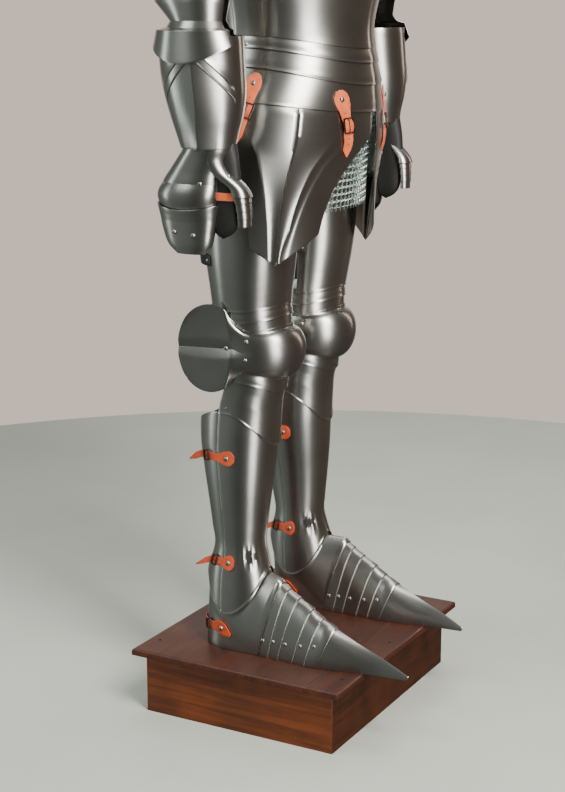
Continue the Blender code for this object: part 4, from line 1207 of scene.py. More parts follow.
def make_sabaton(side):
    """Ankle plate, the stepped lames over the foot and the long pointed toe."""
    drops = finer([1.0, ANKLE_HEM, ANKLE_TUCK, 0.0], 0.05)
    node = side_name("sabaton_ankle", side)

    def ankle_place(column, drop):
        return ankle_point(column, drop, side)

    plate(node, steps(-1, 1, 72), drops, ankle_place, side=side)

    arches = degrees_between(180, 0, 44)
    edges = SABATON_EDGES
    rows = [Row(edges[0] - LAP, 0, 0.0), Row(edges[0], 0, 0.0)]
    for front in edges[1:-1]:
        rows += [Row(front - RISER, 0, STEP), Row(front, 0, 0.0)]
    rows += [Row(edges[-1] - LAP - TOE_CLEAR, 0, STEP), Row(edges[-1], 0, STEP)]

    def lame_place(arch, row):
        return foot_point(row.front, arch, side, row.offset + keel_lift(arch))

    node = side_name("sabaton_lames", side)
    plate(node, arches, finer(list(reversed(rows))), lame_place, side=side)
    reaches = finer([FOOT[-1].reach, edges[-1] - LAP])

    def toe_place(arch, reach):
        left = min(1.0, (FOOT[-1].reach - reach) / (FOOT[-1].reach - edges[-1]))
        point = foot_point(reach, arch, side, keel_lift(arch) * left)
        hollow = (1 - abs(cos(arch))) ** TOE_HOLLOW / max(0.05, sin(arch))
        share = TOE_SHARE * min(1.0, 2 * (1 - left))
        point.z = FLOOR + (point.z - FLOOR) * (1 + (hollow - 1) * share)
        return point

    plate(side_name("sabaton_toe", side), arches, reaches, toe_place, side=side)

    def strap_side(column, z, lift=0.0):
        under = ankle_point(column, ANKLE_TUCK, side, LEATHER_OFF + GAP + lift)
        lap = ankle_point(column, ANKLE_HEM, side, LEATHER_OFF + GAP + lift)
        return under.lerp(lap, (under.z - z) / (under.z - lap.z))

    def strap_place(turn, across, lift=0.0):
        z = HEEL_STRAP_Z + across * straight_at(HEEL_STRAP, min(turn, 3 - turn)).half
        if turn <= 1:
            return strap_side(HEEL_STRAP_START + (1 - HEEL_STRAP_START) * turn, z, lift)
        if turn >= 2:
            return strap_side(-1 + (1 - HEEL_STRAP_START) * (turn - 2), z, lift)
        part = turn - 1
        bow = Vector((0, HEEL_BOW * 4 * part * (1 - part), 0))
        return strap_side(1, z, lift).lerp(strap_side(-1, z, lift), part) + bow

    turns = finer([0, 0.15, 1, 2, 2.85, 3], 0.03)
    node = side_name("sabaton_strap", side)
    plate(node, turns, steps(-1, 1, 6), strap_place, "leg_leather", LEATHER, side)

    def lame_surface(arch, reach):
        return foot_point(reach, radians(arch), side, WALL + GAP)

    seats = [seat(lame_surface, rivet.u, rivet.v, side) for rivet in FOOT_RIVETS]
    seats += [seat(lame_surface, 180 - rivet.u, rivet.v, side) for rivet in FOOT_RIVETS]
    rivets(side_name("sabaton_rivets", side), seats)

    def strap_surface(turn, up):
        return strap_place(turn, up, LEATHER)

    seats = [seat(strap_surface, turn, 0.0, side) for turn in HEEL_RIVETS]
    rivets(side_name("heel_strap_rivets", side), seats, STRAP_RIVET_RADIUS)
    bm = bmesh.new()
    point, facing, along = seat(strap_surface, HEEL_BUCKLE_TURN, 0.0, side)
    buckle(bm, standing(point, facing, facing.cross(along)), *HEEL_BUCKLE, BUCKLE_WIRE)
    add_piece(side_name("heel_buckle", side), bm, "buckle")


def calf_band(z, start, end, lift=0.0):
    """The place function of a strap round the greave, with its free end curled off."""
    way = 1 if end > start else -1

    def place(share, across):
        angle = start + (end - start) * share
        free = max(0.0, share - FREE_START)
        half = way * straight_at(CALF_STRAP, share).half
        level_z = z + across * half - FREE_DROP * free * free
        return ring_point(LEG, level_z, angle, LEATHER_OFF + lift + FREE_OUT * free * free)

    return place


def instep_pleats(z, angle):
    """The short hammered pleats over the instep, as a swell of the greave."""
    near = max(0.0, 1 - abs(z - PLEAT_Z) / PLEAT_HALF)
    near *= max(0.0, 1 - abs(abs(angle) - PLEAT_ANGLE) / PLEAT_SPREAD)
    ripple = PLEAT_HIGH * near * sin(PLEAT_COUNT * angle)
    return (ripple, ripple)


def make_greave(side):
    """Front and back plates that close round the shin, with two straps down each seam."""
    edge = LIMB_EDGE - GREAVE_SEAM
    front = [radians(-edge)] + degrees_between(-96, 96, 48) + [radians(edge)]
    edge = LIMB_EDGE + GREAVE_SEAM
    back = [radians(edge)] + degrees_between(104, 256, 38) + [radians(360 - edge)]
    lower = [*lipped(GREAVE_FOOT, 0.0), *GREAVE_HEM, *(level(z) for z in GREAVE_LEVELS)]
    rows = lower + [KNEE_PLATE_EDGE._replace(offset=0.0), GREAVE_TOP]
    ring_plate(side_name("greave_front", side), LEG, front, rows, side, instep_pleats)
    ring_plate(side_name("greave_back", side), LEG, back, [*lower, *GREAVE_BACK_TOP], side)

    shares = finer([row.z for row in CALF_STRAP], 0.02)
    upper = calf_band(GREAVE_STRAP_Z, STRAP_START, STRAP_END)
    node = side_name("greave_strap", side)
    plate(node, shares, steps(-1, 1, 6), upper, "leg_leather", LEATHER, side)
    outer_low = (LOWER_STRAP_Z, LOWER_STRAP_START, LOWER_STRAP_END)
    inner = (GREAVE_STRAP_Z, 2 * pi - STRAP_START, 2 * pi - STRAP_END)
    inner_low = (LOWER_STRAP_Z, 2 * pi - LOWER_STRAP_START, 2 * pi - LOWER_STRAP_END)
    for label, band in (("lower", outer_low), ("inner", inner), ("inner_lower", inner_low)):
        options = {"finish": "leg_leather", "wall": LEATHER}
        options["name"] = side_name("greave_strap_" + label, side)
        plate(None, shares, steps(-1, 1, 6), calf_band(*band), side=side, **options)

    seats = []
    bm = bmesh.new()
    for band in ((GREAVE_STRAP_Z, STRAP_START, STRAP_END), outer_low, inner, inner_low):
        surface = calf_band(*band, LEATHER)
        seats.append(seat(surface, CALF_RIVET_SHARE, 0.0, side))
        point, facing, along = seat(surface, CALF_BUCKLE_SHARE, 0.0, side)
        buckle(bm, standing(point, facing, facing.cross(along)), *CALF_BUCKLE, BUCKLE_WIRE)
    rivets(side_name("greave_strap_rivets", side), seats, STRAP_RIVET_RADIUS)
    add_piece(side_name("greave_buckles", side), bm, "buckle")


def knee_swell(z):
    """How far the kneecap stands out from the limb for a row's height at the front."""
    part = (z - BULGE_Z) / BULGE_HALF
    if abs(part) >= 1:
        return (0.0, 0.0)
    round_off = sqrt(1 - part * part)
    return (BULGE_SIDE * round_off, BULGE_FRONT * round_off)


def wing_point(turn, lift):
    """The knee's fan wing: a disc standing behind the knee, creased along its middle."""
    y = WING_Y + WING_HALF_Y * turn * sqrt(1 - lift * lift / 2)
    z = WING_Z + WING_HALF_Z * lift * sqrt(1 - turn * turn / 2)
    crease = WING_CREASE * max(0.0, 1 - abs(lift) / WING_CREASE_HALF) ** 1.2 * (0.75 - 0.25 * turn)
    row = section_at(LEG, BULGE_Z)
    x = row.x + WING_OUT + WING_FLARE * (turn + 0.5) - crease
    return Vector((x, y, z))


def make_knee(side):
    """The poleyn with its wing, two lames above it, one below and the shin plate."""
    angles = degrees_between(-LIMB_EDGE, LIMB_EDGE, 50)

    def limb_plate(name, rows):
        ring_plate(side_name(name, side), LEG, angles, rows, side)

    top, second, first = POLEYN_TOP, LAME_2_TOP, LAME_1_TOP
    limb_plate("knee_lame_upper_2", [*tucked(top, -KNEE_LAP, 0.0), *tucked(second, 0.0, 0.0)])
    low, high = tucked(second, 0.0, STEP)
    limb_plate("knee_lame_upper_1", [*lipped(low, STEP), high, *tucked(first, 0.0, 0.0)])
    low, high = tucked(LAME_LOWER, 0.0, STEP)
    limb_plate("knee_lame_lower", [*lipped(low, STEP), high, *tucked(POLEYN_FOOT, 0.0, 0.0)])
    rows = [*lipped(KNEE_PLATE_EDGE, STEP), GREAVE_TOP._replace(offset=STEP), Row(0.574, 0.598, 0.0)]
    limb_plate("knee_plate", rows + tucked(LAME_LOWER, 0.0, 0.0))

    cop = degrees_between(-LIMB_EDGE, WING_NECK, 56)
    neck = [WING_COLUMN + share for share in steps(-2, -1, 14)[1:-1]]
    wing = [WING_COLUMN + turn for turn in finer([WING_NECK_TURN, 0.85, 1.0], 0.05)]
    low, high = POLEYN_FOOT.front, top.front
    middle = (low + high) / 2
    fold = steps(-WING_CREASE_HALF, WING_CREASE_HALF, 16)
    lifts = steps(-1, -WING_CREASE_HALF, 14)[:-1] + fold + steps(WING_CREASE_HALF, 1, 14)[1:]

    def cop_point(angle, lift):
        front = middle + lift * (high - low) / 2
        side_z = (POLEYN_FOOT.side + top.side + lift * (top.side - POLEYN_FOOT.side)) / 2
        z = front + (side_z - front) * sin(angle) ** 2
        return ring_point(LEG, z, angle, STEP, knee_swell(front))

    def place(column, lift):
        if column < WING_COLUMN - 2:
            return cop_point(column, lift)
        if column >= WING_COLUMN + WING_NECK_TURN - TOUCH:
            return wing_point(column - WING_COLUMN, lift)
        share = column - (WING_COLUMN - 2)
        eased = share * share * (3 - 2 * share)
        flat = cop_point(radians(WING_NECK + WING_NECK_SPREAD * share), lift)
        fan = wing_point(WING_NECK_TURN - 0.4 * (1 - share), lift)
        return flat.lerp(fan, eased)

    node = side_name("poleyn", side)
    plate(node, cop + neck + wing, lifts, place, side=side)

    def shin_surface(angle, z):
        return ring_point(LEG, z, radians(angle), WALL)

    def inner_surface(angle, z):
        column = WING_COLUMN - 2 + (abs(angle) - WING_NECK) / WING_NECK_SPREAD
        if angle < 0:
            return cop_point(radians(angle), (z - middle) / (high - low) * 2)
        return place(column, (z - middle) / (high - low) * 2)

    seats = [seat(shin_surface, rivet.u, rivet.v, side) for rivet in KNEE_RIVETS]
    raised_seats = [seat(inner_surface, rivet.u, rivet.v, side) for rivet in POLEYN_RIVETS]
    raised_seats += [seat(place, WING_COLUMN + WING_RIVET.u, WING_RIVET.v, side)]
    seats += [(point + facing * WALL, facing, along) for point, facing, along in raised_seats]
    rivets(side_name("knee_rivets", side), seats)


def make_cuisse(side):
    """The thigh plate, open at the back of the leg."""
    angles = degrees_between(-80, 140, 55)
    low, high = tucked(LAME_1_TOP, 0.0, STEP)
    rows = [*lipped(low, STEP), high, *(level(z) for z in CUISSE_LEVELS)]
    ring_plate(side_name("cuisse", side), LEG, angles, rows, side)

    def band_place(angle, across):
        share = (angle - THIGH_STRAP[0]) / (THIGH_STRAP[1] - THIGH_STRAP[0])
        slack = THIGH_STRAP_SLACK * sin(pi * share)
        z = THIGH_STRAP_Z + across * THIGH_STRAP_HALF
        return ring_point(LEG, z, turned(angle), STEP + slack)

    angles = steps(THIGH_STRAP[0], THIGH_STRAP[1], 40)
    options = {"finish": "black_leather", "wall": LEATHER, "name": side_name("thigh_strap", side)}
    plate(None, angles, steps(-1, 1, 4), band_place, side=side, **options)

    def surface(angle, z):
        return ring_point(LEG, z, radians(angle), STEP + LEATHER)

    seats = [seat(surface, rivet.u, rivet.v, side) for rivet in CUISSE_RIVETS]
    rivets(side_name("cuisse_rivets", side), seats)


def torso_front():
    """The columns that every plate on the body's front shares, so that they nest."""
    return degrees_between(-FAULD_ANGLE, FAULD_ANGLE, 2 * ceil(FAULD_ANGLE / BODY_TURN))


def torso_back():
    """The columns between the side seams, round the back."""
    seam = FAULD_ANGLE + SEAM_LAP
    return degrees_between(seam, 360 - seam, 52)


def raised(row, offset):
    """The row one lap above another."""
    return Row(row.front + PLATE_LAP, row.side + PLATE_LAP, offset)


def make_fauld():
    """Three hoops over the belly and the hips, each lapping the one below."""
    seats = []

    def surface(angle, z):
        return ring_point(TORSO, z, radians(angle), STEP + WALL)

    for number in range(3):
        upper = FAULD_EDGES[number]
        lower = FAULD_EDGES[number + 1]
        rows = [*lipped(lower, STEP), raised(lower, STEP), upper, raised(upper, 0.0)]
        ring_plate(f"fauld_lame_{number + 1}", TORSO, torso_front(), rows)
        z = lower.side + PLATE_LAP / 2
        seats += [seat(surface, turn, z, 1) for turn in (FAULD_RIVET_ANGLE, -FAULD_RIVET_ANGLE)]
    rivets("fauld_rivets", seats)


def tasset_point(column, part, offset=0.0):
    """A point of the left tasset: column counts from the front slit, part from its top."""
    top_angle = column * TASSET_TURN
    top_z = height(FAULD_EDGES[3], top_angle)
    foot = straight_at(TASSET_FOOT, column)
    if part < 0:
        return ring_point(TORSO, top_z - part, top_angle, offset)
    z = top_z + (foot.z - top_z) * part
    swing = section_at(TASSET_SWING, part).share
    high = ring_point(TORSO, z, top_angle, offset)
    centre = TASSET_CENTRE
    reach = TASSET_RADIUS + offset
    angle = radians(foot.angle)
    low = Vector((centre[0] + reach * sin(angle), centre[1] - reach * cos(angle), z))
    return high.lerp(low, swing)


def tasset_marks(part):
    """The columns where the tasset bends at one part of its drop, and how high it is there."""
    fade = clamp(part * CREST_GROWS) * min(1.0, 1.5 - part)
    full = clamp((part - FLUTE_START) / (FLUTE_FULL - FLUTE_START))
    full *= min(1.0, 1.4 - part)
    crest = CREST_HIGH * fade
    valley = TASSET_FLAT * fade
    at = max(0.0, part)
    slit = straight_at(SLIT_FLUTE, at).column
    inner = straight_at(INNER_FLUTE, at).column
    outer = straight_at(OUTER_FLUTE, at).column
    ridge = RIDGE_COLUMN
    rise = FLUTE_HIGH * full
    marks = [
        (SLIT_SHARE, TASSET_EDGE),
        (slit, SLIT_FLUTE_HIGH * full),
        (inner, rise),
        (ridge - CREST_HALF, crest),
        (ridge, crest - CREST_DIP * fade),
        (ridge + CREST_HALF, crest),
        (outer, rise),
        (TASSET_LAST_COLUMN, TASSET_EDGE),
    ]
    return marks, valley


def tasset_column(value, part):
    """The column and the relief for a running value that counts from crease to crease."""
    marks, valley = tasset_marks(part)
    index = min(len(marks) - 2, int(value))
    share = value - index
    low, high = marks[index], marks[index + 1]
    column = low[0] + (high[0] - low[0]) * share
    if index in (3, 4):
        return column, low[1] + (high[1] - low[1]) * share
    relief = valley + (low[1] - valley) * (1 - share) ** HOLLOW + (high[1] - valley) * share**HOLLOW
    return column, relief


def tasset_columns():
    """Running values between the creases, close together where the sheet bends."""
    counts = [12, 10, 14, 3, 3, 12, 22]
    values = [0.0]
    for index, count in enumerate(counts):
        values += [index + part for part in steps(0, 1, count)[1:]]
    return values


def make_tasset(side):
    """The fluted plate over a thigh and the two straps that it hangs by."""

    def place(value, part):
        column, relief = tasset_column(value, part)
        return tasset_point(column, part, relief)

    parts = finer([1.0, 0.0], 0.014) + [-PLATE_LAP / 2, -PLATE_LAP]
    plate(side_name("tasset", side), tasset_columns(), parts, place, side=side)
    make_hip_strap("tasset_strap_front", side, FRONT_STRAP_PATH, FRONT_STRAP_DROP)
    make_hip_strap("tasset_strap_outer", side, OUTER_STRAP_PATH, OUTER_STRAP_DROP)


def hip_strap_place(path, drop, lift=0.0):
    """The place function of a hip strap that follows a path of columns from head to tip."""

    def place(across, z_row):
        row = straight_at(HIP_STRAP, z_row)
        share = (HIP_STRAP[-1].z - row.z) / (HIP_STRAP[-1].z - HIP_STRAP[0].z)
        turn = straight_at(path, share).column + across * row.half / HIP_STRAP_REACH
        angle = turn * TASSET_TURN
        edge = height(FAULD_EDGES[3], angle)
        z = row.z - drop
        offset = 2 * STEP + lift
        if not lift:
            offset += BUCKLE_RISE * max(0.0, 1 - ((row.z - BUCKLE_Z) / BUCKLE_REACH) ** 2)
        if z >= edge:
            return ring_point(TORSO, z, angle, offset)
        foot = straight_at(TASSET_FOOT, turn)
        return tasset_point(turn, (edge - z) / (edge - foot.z), offset)

    return place


def make_hip_strap(name, side, path, drop):
    """One hip strap with its rivet, the painted shade of its holes and its buckle."""
    place = hip_strap_place(path, drop)
    heights = finer([row.z for row in HIP_STRAP], 0.002)
    node = side_name(name, side)
    plate(node, steps(-1, 1, 8), heights, place, "hip_leather", LEATHER, side)
    surface = hip_strap_place(path, drop, LEATHER)
    rivets(node + "_rivet", [seat(surface, 0.0, HIP_RIVET_Z, side)], STRAP_RIVET_RADIUS)
    bm = bmesh.new()
    # Each hole is a flat near-black disc on the strap: painted shade standing in for the dark inside of
    # the punched hole
    for z in HIP_HOLES_Z:
        point, facing, along = seat(surface, 0.0, z, side)
        dome(bm, standing(point, facing, along), HOLE_RADIUS, HOLE_RISE)
    add_piece(node + "_holes", bm, "hole")
    bm = bmesh.new()
    point, facing, along = seat(surface, 0.0, BUCKLE_Z, side)
    buckle(bm, standing(point, facing, along), *HIP_BUCKLE, BUCKLE_WIRE)
    add_piece(node + "_buckle", bm, "buckle")


def cuirass_height(angle, step, away):
    """The height of one of a body plate's rows, away from its middle by an angle."""
    bottom = height(FAULD_EDGES[0], angle)
    shoulder = clamp((away - ARMHOLE_START) / ARMHOLE_TURN)
    top = NECK - (NECK - ARMHOLE) * sin(shoulder * pi / 2)
    if step <= 1:
        return bottom + PLATE_LAP * step
    index = min(len(CUIRASS_SHARES) - 2, int(step - 1))
    low, high = CUIRASS_SHARES[index], CUIRASS_SHARES[index + 1]
    share = low + (high - low) * (step - 1 - index)
    return bottom + PLATE_LAP + (top - bottom - PLATE_LAP) * share


def make_cuirass():
    """Breastplate over backplate, lapping at the sides."""
    edge = radians(FAULD_ANGLE + SEAM_GAP)
    seam = radians(FAULD_ANGLE + SEAM_LAP)
    angles = [-seam, -edge] + torso_front() + [edge, seam]

    def front_place(angle, step):
        z = cuirass_height(angle, step, abs(angle))
        return ring_point(TORSO, z, angle, STEP)

    plate("breastplate", angles, finer([0, 1, 7], 0.14), front_place)

    angles = [edge] + torso_back() + [2 * pi - edge]

    def back_place(angle, step):
        if step >= 0:
            z = cuirass_height(angle, step, abs(angle - pi))
        else:
            index = max(-3, min(-1, int(step - 1)))
            low = BACK_ROWS[index]
            high = BACK_ROWS.get(index + 1, FAULD_EDGES[0])
            z = height(between(low, high, step - index), angle)
        return ring_point(TORSO, z, turned(angle))

    plate("backplate", angles, finer([-3, -2, -1, 0, 1, 7], 0.14), back_place)


def make_head():
    """The bevor over the collar and chin, and the sallet above it."""
    rows = finer([0.0, 1.0], 0.2) + finer(BEVOR_LEVELS)

    def bevor_place(angle, value):
        if value <= 1:
            drop = BEVOR_LAP * (1 - min(1.0, abs(angle) / BEVOR_TURN) ** 2)
            z = NECK - drop * (1 - value)
            lift = BEVOR_LIFT * max(0.0, abs(angle) / BEVOR_TURN - 1)
            return ring_point(TORSO, z, angle, 2 * STEP) + Vector((0, 0, lift + value * GAP))
        if value < BEVOR_CHIN:
            return ring_point(NECK_SECTIONS, value, angle)
        return ring_point(HEAD, value, angle, -STEP - HELMET_REST)

    plate("bevor", torso_front(), rows, bevor_place)

    angles = degrees_between(0, 360, 96)
    parts = finer([0.0, 0.86, 0.98, 1.0], 0.03)

    def sallet_place(angle, part):
        facing = cos(angle)
        bottom = SALLET_SIDE + SALLET_BROW_RISE * max(0.0, facing) ** 1.5
        bottom -= SALLET_TAIL_DROP * max(0.0, -facing)
        top = HEAD[-1].key
        return ring_point(HEAD, bottom + (top - bottom) * part, turned(angle))

    plate("sallet", angles, parts, sallet_place, closed=True)


def mail_point(angle, z):
    """A point of the mail skirt's inner face."""
    low = ring_point(MAIL_DRAPE, min(z, MAIL_DRAPE[-1].key), turned(angle))
    high = ring_point(TORSO, z, turned(angle), -(MAIL + 1.5 * GAP))
    free = MAIL_DRAPE[-1].key
    share = clamp((z - free) / (FAULD_EDGES[3].front - free))
    return Vector((low.x, low.y, z)).lerp(high, share)


def make_mail():
    """The skirt of linked rings, laid out flat in rows and then bent round the hips."""
    turns = steps(0, 2 * pi, MAIL_TURNS)
    lengths = [0.0]
    for start, end in zip(turns, turns[1:]):
        chord = mail_point(end, MAIL_MIDDLE_Z) - mail_point(start, MAIL_MIDDLE_Z)
        lengths.append(lengths[-1] + chord.length)
    quarters = len(MAIL_QUARTERS)
    across = quarters * round(lengths[-1] / RING_PITCH / quarters)
    pitch = lengths[-1] / across
    sizes = bpy.context.scene.suit_sizes
    rows = int((RING_TOP - RING_LOW) / RING_ROW) + 1
    per_piece = across // quarters
    for quarter, name in enumerate(MAIL_QUARTERS):
        bm = bmesh.new()
        wire = bmesh.ops.create_circle(bm, segments=4, radius=sizes.ring_wire)["verts"]
        stand = Matrix.Translation((sizes.ring_radius, 0, 0)) @ Matrix.Rotation(pi / 2, 4, "X")
        bmesh.ops.transform(bm, matrix=stand, verts=wire)
        turn = {"cent": (0, 0, 0), "axis": (0, 0, 1), "angle": 2 * pi, "steps": RING_SIDES}
        bmesh.ops.spin(bm, geom=bm.verts[:] + bm.edges[:], use_merge=True, use_duplicate=False, **turn)
        bmesh.ops.remove_doubles(bm, verts=bm.verts, dist=WELD)
        bmesh.ops.recalc_face_normals(bm, faces=bm.faces)
        one = bm.verts[:] + bm.edges[:] + bm.faces[:]
        other = bmesh.ops.duplicate(bm, geom=one)["geom"]
        first = [item for item in one if isinstance(item, bmesh.types.BMVert)]
        second = [item for item in other if isinstance(item, bmesh.types.BMVert)]
        lean_one = Matrix.Rotation(RING_TILT, 4, "Y")
        lean_two = Matrix.Translation((pitch / 2, RING_ROW, 0)) @ Matrix.Rotation(-RING_TILT, 4, "Y")
        bmesh.ops.transform(bm, matrix=lean_one, verts=first)
        bmesh.ops.transform(bm, matrix=lean_two, verts=second)
        repeat(bm, Vector((pitch, 0, 0)), per_piece)
        repeat(bm, Vector((0, 2 * RING_ROW, 0)), rows // 2)
        start = quarter * per_piece * pitch
        for vert in bm.verts:
            arc = start + vert.co.x
            angle = angle_at(arc, turns, lengths)
            z = RING_LOW + vert.co.y
            inner = mail_point(angle, z)
            level_out = Vector((sin(angle), -cos(angle), 0))
            vert.co = inner + level_out * (MAIL / 2 - RING_SINK + vert.co.z)
        nodes = ("mail_skirt",) if quarter == 0 else ()
        add_piece("mail_" + name, bm, "rings", nodes)


def repeat(bm, shift, count):
    """Copy all of a bmesh along a shift until there are count of it, doubling each time."""
    made = 1
    pattern = bm.verts[:] + bm.edges[:] + bm.faces[:]
    while made < count:
        take = min(made, count - made)
        source = pattern if take == made else limited(bm, shift, take)
        copy = bmesh.ops.duplicate(bm, geom=source)["geom"]
        moved = [item for item in copy if isinstance(item, bmesh.types.BMVert)]
        bmesh.ops.translate(bm, vec=shift * made, verts=moved)
        made += take
        pattern = bm.verts[:] + bm.edges[:] + bm.faces[:]


def limited(bm, shift, take):
    """The part of a repeated pattern that lies in its first few steps, by whole islands."""
    direction = shift.normalized()
    limit = shift.length * take
    chosen = set()
    seen = set()
    for start in bm.verts:
        if start in seen:
            continue
        island = [start]
        seen.add(start)
        for vert in island:
            for edge in vert.link_edges:
                other = edge.other_vert(vert)
                if other not in seen:
                    seen.add(other)
                    island.append(other)
        middle = sum((vert.co.dot(direction) for vert in island), 0.0) / len(island)
        if middle < limit - WELD - shift.length * 0.01:
            chosen.update(island)
    edges = [edge for edge in bm.edges if edge.verts[0] in chosen]
    faces = [face for face in bm.faces if face.verts[0] in chosen]
    return list(chosen) + edges + faces


def angle_at(arc, turns, lengths):
    """The angle round the skirt where the way from the front is an arc long."""
    arc %= lengths[-1]
    low, high = 0, len(lengths) - 1
    while high - low > 1:
        middle = (low + high) // 2
        if lengths[middle] <= arc:
            low = middle
        else:
            high = middle
    part = (arc - lengths[low]) / (lengths[high] - lengths[low])
    return turns[low] + (turns[high] - turns[low]) * part


def rib_drop(turn):
    """How far a slanting rib has dropped at a column, in degrees, of the cuff."""
    return RIB_DROP * min(RIB_REACH, abs(turn - CUFF_RIDGE))


def cuff_row(value, turn):
    """The height of a cuff row: the rows follow the ribs, and even out above and below them."""
    drop = rib_drop(turn)
    low = CUFF[0].key
    if value <= RIBS[0]:
        return low + (value - low) * (RIBS[0] - drop - low) / (RIBS[0] - low)
    if value <= RIBS[1]:
        return value - drop
    return RIBS[1] - drop + (value - RIBS[1]) * (CUFF_TOP - RIBS[1] + drop) / (CUFF_TOP - RIBS[1])


def cuff_relief(value, turn, z):
    """How far the cuff's ridge and ribs stand out."""
    away = abs(turn - CUFF_RIDGE)
    seat_fade = clamp((CUFF_TOP - CUFF_SEAT_CLEAR - z) / CUFF_SEAT_FADE)
    ridge = CUFF_RIDGE_HIGH * max(0.0, 1 - away / CUFF_RIDGE_HALF) ** 2.0
    fade = clamp((RIB_REACH + 6 - away) / RIB_FADE) * clamp(away / RIB_START)
    nearest = min(abs(value - rib) for rib in RIBS)
    rib = RIB_HIGH * max(0.0, 1 - nearest / RIB_HALF) * fade
    return (ridge + rib) * seat_fade


def make_arm(side):
    """Pauldron, upper arm, elbow and the gauntlet's cuff."""
    around = degrees_between(0, 360, 90)

    rows = [level(z) for z in REREBRACE_LEVELS]
    ring_plate(side_name("rerebrace", side), ARM, around, rows, side, closed=True)

    columns = steps(CUFF_RIDGE - 180, CUFF_RIDGE - CUFF_FINE, 12)[:-1]
    columns += steps(CUFF_RIDGE - CUFF_FINE, CUFF_RIDGE + CUFF_FINE, 96)
    columns += steps(CUFF_RIDGE + CUFF_FINE, CUFF_RIDGE + 180, 12)[1:]
    values = finer([CUFF[0].key, RIBS[0] - RIB_HALF], 0.005)
    values += [RIBS[0] - RIB_HALF / 2, RIBS[0], RIBS[0] + RIB_HALF / 2, RIBS[0] + RIB_HALF]
    values += finer([RIBS[0] + RIB_HALF, RIBS[1] - RIB_HALF], 0.003)[1:]
    values += [RIBS[1] - RIB_HALF / 2, RIBS[1], RIBS[1] + RIB_HALF / 2, RIBS[1] + RIB_HALF]
    values += finer([RIBS[1] + RIB_HALF, CUFF_TOP], 0.002)[1:]

    def cuff_place(turn, value):
        z = cuff_row(value, turn)
        low = clamp((CUFF_SWING_Z - z) / CUFF_SWING_DROP)
        shift = CUFF_RIDGE_SWING * low * max(0.0, 1 - abs(turn - CUFF_RIDGE) / 180)
        angle = turned(radians((turn + shift) % 360))
        return ring_point(CUFF, z, angle, cuff_relief(value, turn, z))

    node = side_name("gauntlet_cuff", side)
    plate(node, columns, values, cuff_place, side=side, closed=True)

    angles = degrees_between(22.5, 292.5, 72)

    def elbow_place(angle, row):
        z = height(row, angle)
        if row.front <= ELBOW_SEAT:
            flare = CUFF_FLARE * (ELBOW_SEAT - row.front) / (ELBOW_SEAT - COUTER_FOOT.front)
            return ring_point(CUFF, z, turned(angle), STEP + flare)
        swell = straight_at(ELBOW_SWELL, z)
        point = ring_point(ARM, z, turned(angle), STEP + swell.out)
        point.y += swell.rear * max(0.0, -cos(angle)) ** 2
        return point

    rows = [COUTER_FOOT, *(level(z) for z in COUTER_LEVELS)]
    plate(side_name("couter", side), angles, finer(rows), elbow_place, side=side)

    columns = steps(-1, 1, 60)

    def shoulder_place(column, part):
        angle = pi / 2 + column * PAULDRON_TURN
        if part <= 1:
            return ring_point(ARM, PAULDRON_LOW + PAULDRON_LAP * part, turned(angle), STEP)
        low = ring_point(ARM, ARM_TOP, turned(angle), STEP)
        across = pi / 2 + column * SHOULDER_TURN
        high = ring_point(TORSO, SHOULDER_SEAT, across, SHOULDER_OFF)
        share = part - 1
        bulge = 4 * share * (1 - share)
        out = Vector((sin(angle), -cos(angle), 0)) * SHOULDER_OUT * bulge
        return low.lerp(high, share) + out + Vector((0, 0, SHOULDER_RISE * bulge))

    parts = finer([0, 1], 0.25) + finer([1, 1.999], 0.03)[1:]
    plate(side_name("pauldron", side), columns, parts, shoulder_place, side=side)


def arc_share(z):
    """How much of the knuckles' arc a height of the hand takes: all of it at the lap."""
    return max(0.0, 1 - abs(z - KNUCKLE_LAP_Z) / KNUCKLE_FADE)


